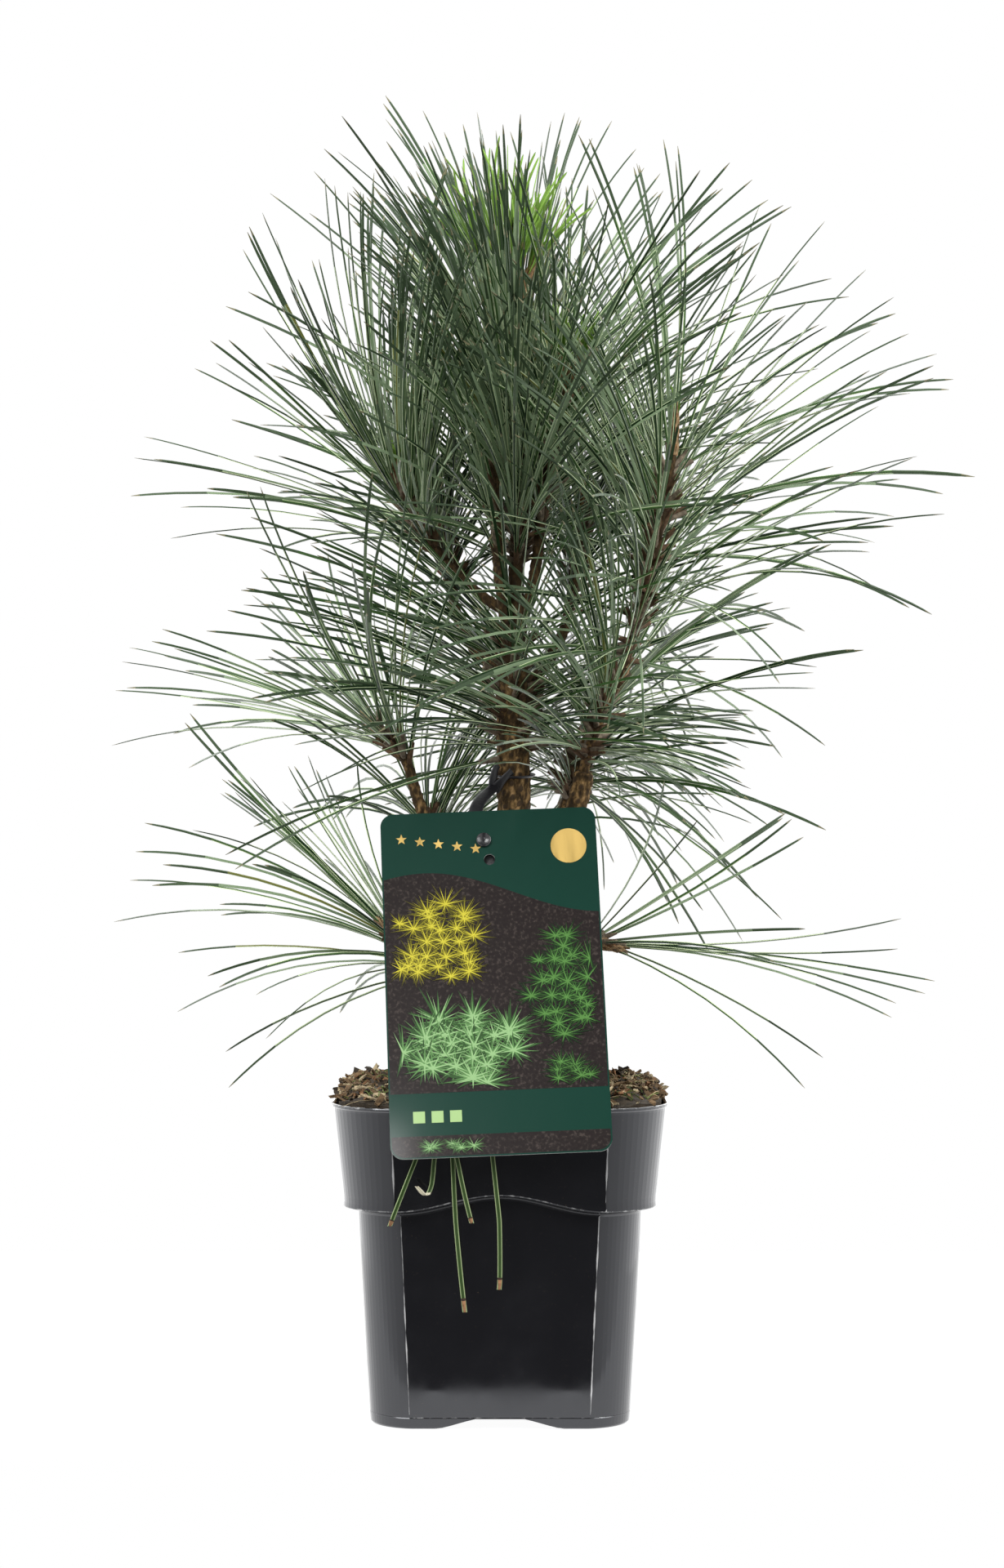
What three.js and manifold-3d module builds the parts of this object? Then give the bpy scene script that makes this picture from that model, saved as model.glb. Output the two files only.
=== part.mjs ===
// A young Austrian pine in a square plastic nursery pot, with its picture card tied to the trunk.
// Millimetres, +Z up. The origin is the middle of the pot's underside, and the front faces -Y.
import * as THREE from "three";
import { mergeVertices } from "three/addons/utils/BufferGeometryUtils.js";
import Module from "manifold-3d";

const wasm = await Module();
wasm.setup();

// Driving dimensions
const CLEARANCE = 0.3;
// Added to a clearance where a flat-sided skin stands for a round one.
const SLACK = 0.1;
// How far a cutting solid runs past the face that it opens.
const OVERRUN = 1;

const POT = {
  height: 125,
  wall: 1.2,
  foot: { half: 50.6, corner: 16 },
  waist: { half: 55.3, corner: 17.2, height: 82.9 },
  shoulder: { half: 60.8, corner: 20.5, height: 87 },
  rim: { half: 65, corner: 23.4 },
  wave: 6.4,
  cornerSteps: 4,
  flatSteps: 6,
  // How much the wall's thickness takes off a corner, and lifts the step below the band, on the inside.
  innerCorner: 0.5,
  innerStep: 0.8,
};
const POT_ARCH = { height: 4, halfWidth: 24, topHalfWidth: 10 };
// A round pad at the middle of the underside is level with the feet at the corners.
const POT_PAD = { radius: 12, sides: 20 };
const DRAIN = { radius: 4, reach: 27, sides: 10 };
const SOIL = {
  floor: 5.6,
  edge: 122.5,
  shoulder: { half: 50, corner: 30, height: 125.6 },
  plateau: { half: 15, corner: 15 },
  top: 127,
};

const TRUNK = {
  foot: [1, 0, SOIL.top + CLEARANCE],
  bends: [[3.2, -0.5, 180], [5.6, 0, 240], [4.9, 0, 278], [5.9, 0, 311], [6.6, 0.5, 347]],
  tip: [4.6, 1, 441],
  // Height above the pot's underside, and the trunk's radius there.
  flare: [[127, 10.5], [133, 8], [145, 7], [240, 6.7], [285, 6.4]],
  taper: [[311, 4.6], [325, 3.3], [350, 2.3], [441, 1.5]],
  sides: 9,
  steps: 20,
};

// Each limb leaves the trunk at a height, turns up at its elbow and ends where its needles begin.
const LIMBS = [
  { name: "cut_leader", rise: 305, elbow: [-1, -9.5, 317], tip: [-2.3, -8, 380], radius: [2.7, 2.2] },
  { name: "middle_bough", rise: 309, elbow: [13.5, -1, 322], tip: [15.6, -1.5, 346], radius: [2.5, 2] },
  { name: "upper_left_bough", rise: 316, elbow: [-12, 4, 325], tip: [-24, 3, 340.5], radius: [2.2, 1.8] },
  { name: "right_bough", rise: 203, elbow: [29, -3, 219], tip: [33.6, -5, 254], radius: [4.6, 3.8] },
  { name: "left_bough", rise: 196, elbow: [-26, -4, 214], tip: [-35.6, -7, 252], radius: [2.8, 2.1] },
  { name: "low_right_bough", rise: 166, elbow: [18, -9, 172], tip: [31, -13, 183], radius: [2.6, 2] },
  { name: "low_left_bough", rise: 150, elbow: [-18, -8, 155], tip: [-27, -11, 168], radius: [2.6, 2] },
  { name: "back_left_bough", rise: 292, elbow: [-13, 20, 300], tip: [-19, 30, 322], radius: [2.8, 2.1] },
  { name: "back_right_bough", rise: 284, elbow: [19, 21, 292], tip: [27, 32, 314], radius: [2.8, 2.1] },
  { name: "back_low_left_bough", rise: 190, elbow: [-14, 22, 198], tip: [-21, 31, 214], radius: [2.8, 2] },
  { name: "back_low_right_bough", rise: 216, elbow: [20, 24, 222], tip: [27, 33, 240], radius: [2.8, 2] },
];
const LIMB_SIDES = 6;
const LIMB_STEPS = 5;
// A limb climbs about this far beside the trunk before it is clear of it.
const LIMB_REACH = 15;

// Needles stand round a stem that grows on from a limb's tip, or round a limb between two heights.
// Lean is the angle off the stem at the lowest and at the highest needle, and no tip hangs below the
// lowest level, which keeps the crown's gaps open.
const SHOOTS = [
  {
    name: "leader_needles", around: "trunk", span: [335, 413],
    needles: 90, lean: [76, 34], leanSpread: 20, length: 125,
  },
  {
    name: "cut_leader_needles", around: "cut_leader", span: [336, 374],
    needles: 16, lean: [60, 34],
  },
  {
    name: "trunk_needles", around: "trunk", span: [258, 304],
    needles: 56, lean: [80, 66], length: 118,
  },
  {
    name: "middle_needles", limb: "middle_bough", elbow: [18, -2, 376], tip: [26, -3, 404],
    needles: 44, lean: [64, 24],
  },
  {
    name: "upper_left_needles", limb: "upper_left_bough", elbow: [-33, 3, 351], tip: [-43, 3, 366],
    needles: 48, lean: [60, 14], leanSpread: 22, length: 123, sag: 0.04, lowest: 354,
  },
  {
    name: "right_low_needles", limb: "right_bough", elbow: [36, -6, 268], tip: [47, -7, 289],
    needles: 42, lean: [72, 44], length: 108, sag: 0.05, lowest: 266,
  },
  {
    name: "right_needles", after: "right_low_needles",
    foot: [47.2, -7, 289.6], elbow: [60, -9, 325], tip: [69, -12, 381],
    needles: 82, lean: [80, 50], leanSpread: 28, length: 132, sag: 0.03,
  },
  {
    name: "left_needles", limb: "left_bough", elbow: [-38, -7, 262], tip: [-48, -8, 270],
    needles: 38, lean: [62, 34], length: 128, sag: 0.04, leanSpread: 16, lowest: 250,
  },
  {
    name: "low_right_needles", limb: "low_right_bough", elbow: [37, -15, 186], tip: [40, -16, 184],
    needles: 20, lean: [38, 12], length: 133, sag: 0.1,
  },
  {
    name: "low_left_needles", limb: "low_left_bough", elbow: [-31, -12, 178], tip: [-42, -13, 188],
    needles: 30, lean: [56, 14], length: 117,
  },
  {
    name: "back_left_needles", limb: "back_left_bough", elbow: [-21, 35, 342], tip: [-26, 42, 366],
    needles: 40, lean: [74, 26],
  },
  {
    name: "back_right_needles", limb: "back_right_bough", elbow: [31, 38, 334], tip: [34, 44, 360],
    needles: 40, lean: [74, 26],
  },
  {
    name: "back_low_left_needles", limb: "back_low_left_bough", elbow: [-25, 36, 223], tip: [-31, 42, 234],
    needles: 28, lean: [74, 26],
  },
  {
    name: "back_low_right_needles", limb: "back_low_right_bough", elbow: [30, 37, 251], tip: [35, 42, 264],
    needles: 28, lean: [74, 26],
  },
];
const STEM = { radius: [2.3, 1.7], sides: 3, steps: 3 };
const NEEDLE = {
  length: 124,
  lengthSpread: 0.08,
  rootRadius: 0.45,
  kneeRadius: 1.4,
  tipRadius: 0.25,
  kneeShare: 0.5,
  // From this share of its lower half a needle clears the others, and from this one its own limb.
  freeShare: 0.07,
  carrierShare: 0.45,
  arch: 9,
  leanSpread: 12,
  leastLean: 3,
  // Under 1, needles stand closer towards the tip of a shoot.
  crowding: 0.8,
  sag: 0.1,
  sharedSpace: 34,
  // Each try turns a needle on round its stem.
  tries: 10,
  tryTurn: 37,
  turnSpread: 12,
};
const GOLDEN_TURN = 137.508;
// The distance that needles keep from card, pot and soil.
const BERTH = 1.5;
// A six-sided sleeve swells a little, so that its flats clear the round limb inside.
const SLEEVE = { wall: 0.7, swell: 1.15, sides: 6, steps: 3 };

// The candles of new growth: short stems above a leader with bright short needles.
const LEADER_CANDLES = {
  count: 5,
  foot: 440,
  height: 16,
  spread: 9,
  radius: 1.9,
  needles: 4,
  needleLength: 47,
};
const MIDDLE_CANDLE = { height: 18, radius: 1.5, needles: 5, needleLength: 26 };
const RIGHT_BUD = { height: 18, radius: 1.7 };

const CARD = {
  width: 84,
  height: 136.5,
  thickness: 0.8,
  corner: 5,
  roll: 2.4,
  lean: 18.2,
  foot: [0.8, 108.2],
  standOff: 2.9,
  tieHole: { radius: 2, across: -1.9, up: 124.6 },
  spareHole: { radius: 2.2, across: 0, up: 116.6 },
};
const TIE = {
  width: 5,
  thickness: 1.3,
  height: 252,
  turns: 1.25,
  steps: 12,
  ring: { radius: 1, sides: 5, steps: 14 },
  // The side of the trunk on which the strap meets its ring.
  knot: [-0.7, -0.8, 0],
  // Where the strap starts behind the card, and how far below the ring it turns up.
  start: 2,
  droop: 6,
  shank: 1.5,
  button: { radius: 2.5, thickness: 1.4 },
};

// Fallen needle pairs caught between card and rim: where each hangs to, and how far it slants.
const CAUGHT_PAIRS = [
  { across: -40.5, low: 80.7, slant: 0.29, length: 88 },
  { across: -26.4, low: 92.5, slant: 0.09, length: 62 },
  { across: -13, low: 48, slant: -0.064, length: 112 },
  { across: -9.4, low: 81.6, slant: -0.19, length: 32, forward: 1.8 },
  { across: -0.3, low: 56.4, slant: -0.05, length: 114 },
];
const PAIR = { radius: 0.85, sheathRadius: 0.9, sheath: 8, spread: 1.1, point: 4, clearance: 0.45 };

const COLOURS = {
  pot: 0x16181a,
  soil: 0x4a3222,
  bark: 0x7d5a3c,
  needle: 0x3f5d42,
  card: 0x0f3d33,
  tie: 0x1d1d20,
  pair: 0x6f7a4a,
};

const toVector = ([x, y, z]) => new THREE.Vector3(x, y, z);
const radians = THREE.MathUtils.degToRad;
const mix = THREE.MathUtils.lerp;

function seededRandom(seed) {
  let state = seed * 7919 + 17;
  return () => {
    state = (state * 1664525 + 1013904223) % 4294967296;
    return state / 4294967296;
  };
}

// Closed skins

// A skin through rings of equal point count, each end closed by a fan, the far one up to a point if given.
function loft(rings, point) {
  const count = rings[0].length;
  const points = rings.flat();
  const triangles = [];
  for (let ring = 0; ring + 1 < rings.length; ring++) {
    for (let i = 0; i < count; i++) {
      const a = ring * count + i;
      const b = ring * count + ((i + 1) % count);
      triangles.push(a, b, b + count, a, b + count, a + count);
    }
  }
  const last = (rings.length - 1) * count;
  for (let i = 1; i + 1 < count; i++) {
    triangles.push(0, i + 1, i);
    if (!point) triangles.push(last, last + i, last + i + 1);
  }
  if (point) {
    points.push(point);
    for (let i = 0; i < count; i++) {
      triangles.push(last + i, last + ((i + 1) % count), points.length - 1);
    }
  }
  const vertProperties = new Float32Array(points.flatMap((p) => [p.x, p.y, p.z]));
  return new wasm.Manifold(
    new wasm.Mesh({ numProp: 3, vertProperties, triVerts: new Uint32Array(triangles) }),
  );
}

function solidOf(geometry) {
  const bare = geometry.clone();
  bare.deleteAttribute("normal");
  bare.deleteAttribute("uv");
  const merged = mergeVertices(bare, 1e-4);
  return new wasm.Manifold(
    new wasm.Mesh({
      numProp: 3,
      vertProperties: new Float32Array(merged.attributes.position.array),
      triVerts: new Uint32Array(merged.index.array),
    }),
  );
}

function geometryOf(solid) {
  const mesh = solid.getMesh();
  const geometry = new THREE.BufferGeometry();
  geometry.setAttribute("position", new THREE.BufferAttribute(mesh.vertProperties, 3));
  geometry.setIndex(new THREE.BufferAttribute(mesh.triVerts, 1));
  return geometry;
}

// The largest body of a joined solid, without scraps that a cut left loose.
function mainBody(solid) {
  return solid.decompose().reduce((a, b) => (a.volume() > b.volume() ? a : b));
}

function roundRing(centre, normal, binormal, radius, sides, turn = 0) {
  return Array.from({ length: sides }, (_, i) => {
    const angle = (2 * Math.PI * i) / sides + turn;
    return centre
      .clone()
      .addScaledVector(normal, radius * Math.cos(angle))
      .addScaledVector(binormal, radius * Math.sin(angle));
  });
}

// A tapering tube with closed ends along a path, grown outward on all sides if asked.
function tube(path, radiusAt, sides, steps, grow = 0) {
  const frames = path.computeFrenetFrames(steps, false);
  const rings = frames.tangents.map((_, i) => {
    const share = i / steps;
    const centre = path.getPointAt(share);
    if (i === 0) centre.addScaledVector(frames.tangents[i], -grow);
    if (i === steps) centre.addScaledVector(frames.tangents[i], grow);
    return roundRing(centre, frames.normals[i], frames.binormals[i], radiusAt(share, centre) + grow, sides);
  });
  return loft(rings);
}

// Pot and soil

function squareRing(half, corner, height, wave = 0) {
  const flat = half - corner;
  const points = [];
  for (let side = 0; side < 4; side++) {
    const turn = (side * Math.PI) / 2;
    const place = (x, y, z) =>
      points.push(
        new THREE.Vector3(
          x * Math.cos(turn) - y * Math.sin(turn),
          x * Math.sin(turn) + y * Math.cos(turn),
          z,
        ),
      );
    for (let i = 0; i < POT.flatSteps; i++) {
      const share = i / POT.flatSteps;
      const lift = wave * (0.5 - 0.5 * Math.cos(2 * Math.PI * share));
      place(mix(-flat, flat, share), -half, height + lift);
    }
    for (let i = 0; i < POT.cornerSteps; i++) {
      const angle = -Math.PI / 2 + ((Math.PI / 2) * i) / POT.cornerSteps;
      place(flat + corner * Math.cos(angle), -flat + corner * Math.sin(angle), height);
    }
  }
  return points;
}

// The pot's profile, moved in by an inset, between a lowest and a highest level.
function potRings(inset, lowest, highest) {
  const { foot, waist, shoulder, rim, wave, innerCorner, innerStep } = POT;
  const between = (lower, upper, share) => ({
    half: mix(lower.half, upper.half, share),
    corner: mix(lower.corner, upper.corner, share),
  });
  const ring = (size, height, ripple) =>
    squareRing(size.half - inset, size.corner - inset * innerCorner, height, ripple);
  const bottom = between(foot, waist, lowest / waist.height);
  const top = between(shoulder, rim, (highest - shoulder.height) / (POT.height - shoulder.height));
  return [
    ring(bottom, lowest),
    ring(waist, waist.height + inset * innerStep, wave),
    ring(shoulder, shoulder.height + inset * innerStep, wave),
    ring(top, highest),
  ];
}

// A raised way across the underside, open at both side walls.
function archSolid(grow, turned) {
  const { height, halfWidth, topHalfWidth } = POT_ARCH;
  const wide = halfWidth + grow;
  const narrow = topHalfWidth + grow;
  const outline = new THREE.Shape();
  outline.moveTo(-wide, -OVERRUN);
  outline.lineTo(wide, -OVERRUN);
  outline.lineTo(wide, grow);
  outline.lineTo(narrow, height + grow);
  outline.lineTo(-narrow, height + grow);
  outline.lineTo(-wide, grow);
  const depth = 2 * POT.rim.half;
  const geometry = new THREE.ExtrudeGeometry(outline, { depth, bevelEnabled: false });
  geometry.translate(0, 0, -depth / 2);
  geometry.rotateX(Math.PI / 2);
  if (turned) geometry.rotateZ(Math.PI / 2);
  return solidOf(geometry);
}

function postSolid({ radius, sides }, bottom, top, x = 0, y = 0) {
  const geometry = new THREE.CylinderGeometry(radius, radius, top - bottom, sides);
  geometry.rotateX(Math.PI / 2);
  geometry.translate(x, y, (bottom + top) / 2);
  return solidOf(geometry);
}

function potSolid() {
  const { wall, height } = POT;
  const padTop = POT_ARCH.height + wall;
  const arches = (grow) => archSolid(grow, false).add(archSolid(grow, true));
  const pad = postSolid(POT_PAD, -OVERRUN, padTop);
  const outside = loft(potRings(0, 0, height)).subtract(arches(0).subtract(pad));
  const inside = loft(potRings(wall, wall, height + wall)).subtract(arches(wall).add(pad));
  let pot = outside.subtract(inside);
  for (const [x, y] of [[1, 0], [-1, 0], [0, 1], [0, -1]]) {
    pot = pot.subtract(postSolid(DRAIN, 0, padTop + OVERRUN, x * DRAIN.reach, y * DRAIN.reach));
  }
  return mainBody(pot);
}

function soilSolid() {
  const { floor, edge, shoulder, plateau, top } = SOIL;
  const rings = potRings(POT.wall + CLEARANCE + SLACK, floor, edge);
  rings.push(squareRing(shoulder.half, shoulder.corner, shoulder.height));
  rings.push(squareRing(plateau.half, plateau.corner, top));
  return loft(rings);
}

// Trunk and limbs

const trunkPath = new THREE.CatmullRomCurve3([TRUNK.foot, ...TRUNK.bends, TRUNK.tip].map(toVector));

function trunkRadius(height) {
  const girth = [...TRUNK.flare, ...TRUNK.taper];
  const above = girth.findIndex(([level]) => level >= height);
  if (above < 0) return girth.at(-1)[1];
  if (above === 0) return girth[0][1];
  const [low, wide] = girth[above - 1];
  const [high, narrow] = girth[above];
  return mix(wide, narrow, (height - low) / (high - low));
}

// The share of a path, from 0 to 1, at which it reaches a height.
function shareAtHeight(path, height) {
  let low = 0;
  let high = 1;
  for (let i = 0; i < 40; i++) {
    const middle = (low + high) / 2;
    if (path.getPointAt(middle).z < height) low = middle;
    else high = middle;
  }
  return low;
}

function trunkSolid(grow) {
  const frames = trunkPath.computeFrenetFrames(TRUNK.steps, false);
  const rings = frames.tangents.map((_, i) => {
    // Closer rings at the flared foot, and level ones, so that the foot is cut flat.
    const centre = trunkPath.getPointAt((i / TRUNK.steps) ** 1.5);
    const level = [new THREE.Vector3(1, 0, 0), new THREE.Vector3(0, 1, 0)];
    return roundRing(centre, ...level, trunkRadius(centre.z) + grow, TRUNK.sides);
  });
  if (grow) {
    for (const point of rings[0]) point.z -= grow;
    for (const point of rings.at(-1)) point.z += grow;
  }
  return loft(rings);
}

const limbs = new Map();

function limbPath({ rise, elbow, tip }) {
  const foot = trunkPath.getPointAt(shareAtHeight(trunkPath, rise));
  return new THREE.QuadraticBezierCurve3(foot, toVector(elbow), toVector(tip));
}

function limbSolid(path, radius, grow = 0) {
  return tube(path, (share) => mix(...radius, share), LIMB_SIDES, LIMB_STEPS, grow);
}

// Room round the solids, as chains of points with a radius at each

const chains = [];
const stems = new Map();

function chainOf(owner, points, radii, isNeedle = false) {
  const box = new THREE.Box3().setFromPoints(points).expandByScalar(Math.max(...radii) + CLEARANCE);
  return { owner, points, radii, isNeedle, box };
}

function pathChain(owner, path, radiusAt, count) {
  const shares = Array.from({ length: count + 1 }, (_, i) => i / count);
  const points = shares.map((share) => path.getPointAt(share));
  chains.push(chainOf(owner, points, shares.map((share, i) => radiusAt(share, points[i]))));
}

// The distance between two segments, less the radius of each where they come closest.
function segmentGap(a, b, ra, rb, c, d, rc, rd) {
  const u = b.clone().sub(a);
  const v = d.clone().sub(c);
  const w = a.clone().sub(c);
  const uu = u.dot(u);
  const uv = u.dot(v);
  const vv = v.dot(v);
  const uw = u.dot(w);
  const vw = v.dot(w);
  const clamp = THREE.MathUtils.clamp;
  const cross = uu * vv - uv * uv;
  let s = cross > 1e-9 ? clamp((uv * vw - vv * uw) / cross, 0, 1) : 0;
  const t = clamp((uv * s + vw) / vv, 0, 1);
  s = clamp((uv * t - uw) / uu, 0, 1);
  const apart = w.addScaledVector(u, s).addScaledVector(v, -t).length();
  return apart - mix(ra, rb, s) - mix(rc, rd, t);
}

function chainsTouch(one, other) {
  for (let i = 0; i + 1 < one.points.length; i++) {
    for (let j = 0; j + 1 < other.points.length; j++) {
      const gap = segmentGap(
        one.points[i], one.points[i + 1], one.radii[i], one.radii[i + 1],
        other.points[j], other.points[j + 1], other.radii[j], other.radii[j + 1],
      );
      if (gap < CLEARANCE) return true;
    }
  }
  return false;
}

function nearness(point, stem) {
  return Math.min(...stem.map((other) => point.distanceTo(other)));
}

// The picture card, in a frame of its own: x across, y up along the card, z out of its front.

const cardFrame = new THREE.Matrix4();
{
  const lean = radians(CARD.lean);
  const [across, up] = CARD.foot;
  const depth = -POT.rim.half - CARD.standOff - (POT.height - up) * Math.tan(lean);
  const upright = new THREE.Matrix4().makeRotationX(Math.PI / 2 - lean);
  const rolled = new THREE.Matrix4().makeRotationZ(radians(CARD.roll));
  cardFrame.makeTranslation(across, depth, up).multiply(upright).multiply(rolled);
}
const intoCard = cardFrame.clone().invert();

function onCard(across, up, out) {
  return new THREE.Vector3(across, up, out).applyMatrix4(cardFrame);
}

function cardGeometry() {
  const { width, height, corner, thickness, tieHole, spareHole } = CARD;
  const half = width / 2;
  const outline = new THREE.Shape();
  outline.moveTo(-half + corner, 0);
  outline.absarc(half - corner, corner, corner, -Math.PI / 2, 0, false);
  outline.absarc(half - corner, height - corner, corner, 0, Math.PI / 2, false);
  outline.absarc(-half + corner, height - corner, corner, Math.PI / 2, Math.PI, false);
  outline.absarc(-half + corner, corner, corner, Math.PI, 1.5 * Math.PI, false);
  for (const { radius, across, up } of [tieHole, spareHole]) {
    outline.holes.push(new THREE.Path().absarc(across, up, radius, 0, 2 * Math.PI, true));
  }
  return new THREE.ExtrudeGeometry(outline, { depth: thickness, bevelEnabled: false, curveSegments: 4 });
}

// True where a ball would touch the card, the pot or the soil.
function hitsFixedThings(point, radius) {
  const local = point.clone().applyMatrix4(intoCard);
  const reach = radius + BERTH;
  const beside = Math.abs(local.x) < CARD.width / 2 + reach;
  const level = local.y > -reach && local.y < CARD.height + reach;
  if (beside && level && local.z > -reach && local.z < CARD.thickness + reach) return true;
  const overPot = Math.max(Math.abs(point.x), Math.abs(point.y)) < POT.rim.half + reach;
  return overPot && point.z < SOIL.top + reach;
}

// Needles

// A needle leaves the stem steeply, opens outward at its knee and sags as far as it lies flat.
function needleLine(root, along, turn, lean, length, sag = NEEDLE.sag) {
  const side = Math.abs(along.z) < 0.9 ? new THREE.Vector3(0, 0, 1) : new THREE.Vector3(1, 0, 0);
  const across = side.cross(along).normalize().applyAxisAngle(along, radians(turn));
  const heading = (angle) =>
    along
      .clone()
      .multiplyScalar(Math.cos(radians(angle)))
      .addScaledVector(across, Math.sin(radians(angle)));
  const knee = root.clone().addScaledVector(heading(lean - NEEDLE.arch), length * NEEDLE.kneeShare);
  const outer = heading(lean + NEEDLE.arch);
  const flatness = 1 - outer.z * outer.z;
  const tip = knee.clone().addScaledVector(outer, length * (1 - NEEDLE.kneeShare));
  tip.z -= sag * length * flatness;
  return [root, knee, tip];
}

// Three flat sides to the knee and three on to the tip: both rings lie the same way, so each side is flat.
function needleSolid([root, knee, tip], scale = 1) {
  const heading = knee.clone().sub(root).normalize();
  const normal = new THREE.Vector3(-heading.y, heading.x, 0.01).cross(heading).normalize();
  const binormal = heading.clone().cross(normal);
  const ringAt = (centre, radius) => roundRing(centre, normal, binormal, radius * scale, 3);
  return loft([ringAt(root, NEEDLE.rootRadius), ringAt(knee, NEEDLE.kneeRadius)], tip);
}

// True if a needle keeps to its own space and clears limbs, card, pot, soil and other needles.
function hasRoom(line, owner, carrier) {
  const [root, knee, tip] = line;
  const start = root.clone().lerp(knee, NEEDLE.freeShare);
  const points = [start, knee, tip];
  const radii = [NEEDLE.rootRadius, NEEDLE.kneeRadius, NEEDLE.tipRadius];
  const chain = chainOf(owner, points, radii, true);
  for (const [other, stem] of stems) {
    if (other === owner) continue;
    for (const point of [knee, tip]) {
      const own = nearness(point, stems.get(owner));
      if (own > nearness(point, stem) + NEEDLE.sharedSpace) return null;
    }
  }
  for (let i = 0; i <= 30; i++) {
    const share = i / 30;
    const point = share < 0.5 ? start.clone().lerp(knee, share * 2) : knee.clone().lerp(tip, share * 2 - 1);
    if (hitsFixedThings(point, NEEDLE.kneeRadius)) return null;
  }
  for (const other of chains) {
    if ((other.owner === owner && !other.isNeedle) || !other.box.intersectsBox(chain.box)) continue;
    if (other.owner === carrier) {
      // Past its root a needle also clears the limb that it stands round.
      const free = [root.clone().lerp(knee, NEEDLE.carrierShare), knee, tip];
      if (chainsTouch({ points: free, radii }, other)) return null;
    } else if (chainsTouch(chain, other)) {
      return null;
    }
  }
  return chain;
}

function growNeedles(shoot, random) {
  const solids = [];
  const { path } = shoot;
  const [first, last] = shoot.range;
  for (let i = 0; i < shoot.needles; i++) {
    const share = ((i + 0.5) / shoot.needles) ** NEEDLE.crowding;
    const at = mix(first, last, share);
    const root = path.getPointAt(at);
    const along = path.getTangentAt(at);
    for (let attempt = 0; attempt < NEEDLE.tries; attempt++) {
      const jitter = (random() - 0.5) * 2 * NEEDLE.turnSpread;
      const turn = i * GOLDEN_TURN + attempt * NEEDLE.tryTurn + jitter;
      const spread = shoot.leanSpread ?? NEEDLE.leanSpread;
      const wished = mix(...shoot.lean, share) + (random() - 0.5) * 2 * spread;
      const lean = Math.max(NEEDLE.leastLean, wished);
      const stretch = 1 + (random() - 0.5) * 2 * NEEDLE.lengthSpread;
      const length = (shoot.length ?? NEEDLE.length) * stretch;
      const line = needleLine(root, along, turn, lean, length, shoot.sag);
      const hangs = line[2].z < (shoot.lowest ?? 0);
      const chain = hangs ? null : hasRoom(line, shoot.name, shoot.around);
      if (chain) {
        chains.push(chain);
        solids.push(needleSolid(line));
        break;
      }
    }
  }
  return solids;
}

// A candle: a short stem of new growth with short needles that stand close about it.
function candleSolids(owner, foot, top, { radius, needles, needleLength }, random) {
  const path = new THREE.LineCurve3(foot, top);
  const solids = [tube(path, (share) => radius * (1 - 0.35 * share), 5, 1)];
  chains.push(chainOf(owner, [foot, top], [radius, radius]));
  const along = path.getTangentAt(0);
  for (let i = 0; i < needles; i++) {
    const root = path.getPointAt(mix(0.55, 0.95, (i + 0.5) / needles));
    const lean = 14 + random() * 16;
    const length = needleLength * (0.8 + 0.3 * random());
    const line = needleLine(root, along, i * GOLDEN_TURN, lean, length);
    if (hasRoom(line, owner, null)) {
      solids.push(needleSolid(line, 0.85));
      chains.push(chainOf(owner, line, [1, 1, 0.2]));
    }
  }
  return solids;
}

function leaderCandles(random) {
  const { count, foot, height, spread } = LEADER_CANDLES;
  const bottom = toVector(TRUNK.tip).setZ(foot + 2);
  return Array.from({ length: count }, (_, i) => {
    const angle = radians((360 * i) / (count - 1) + 20);
    const out = i === count - 1 ? 0 : spread;
    const aside = new THREE.Vector3(out * Math.cos(angle), out * Math.sin(angle) * 0.7, height);
    return candleSolids("leader_needles", bottom, bottom.clone().add(aside), LEADER_CANDLES, random);
  }).flat();
}

// Assembly

const plant = new THREE.Group();

function addPart(name, geometry, colour, roughness) {
  const material = new THREE.MeshStandardMaterial({ color: colour, roughness, metalness: 0 });
  const mesh = new THREE.Mesh(geometry, material);
  mesh.name = name;
  plant.add(mesh);
  return mesh;
}

addPart("pot", geometryOf(potSolid()), COLOURS.pot, 0.3);
addPart("soil", geometryOf(soilSolid()), COLOURS.soil, 0.95);
addPart("trunk", geometryOf(trunkSolid(0)), COLOURS.bark, 0.9);
const card = addPart("picture_card", cardGeometry(), COLOURS.card, 0.35);
card.applyMatrix4(cardFrame);

// Limbs, each saddled on the trunk

const grownTrunk = trunkSolid(CLEARANCE);
pathChain("trunk", trunkPath, (_, point) => trunkRadius(point.z), 24);
for (const limb of LIMBS) {
  const path = limbPath(limb);
  limbs.set(limb.name, { path, radius: limb.radius });
  const solid = mainBody(limbSolid(path, limb.radius).subtract(grownTrunk));
  addPart(limb.name, geometryOf(solid), COLOURS.bark, 0.9);
  pathChain(limb.name, path, (share) => mix(...limb.radius, share), 8);
}

// The tie: a twisted strap from the card's hole to a ring round the trunk

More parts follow.
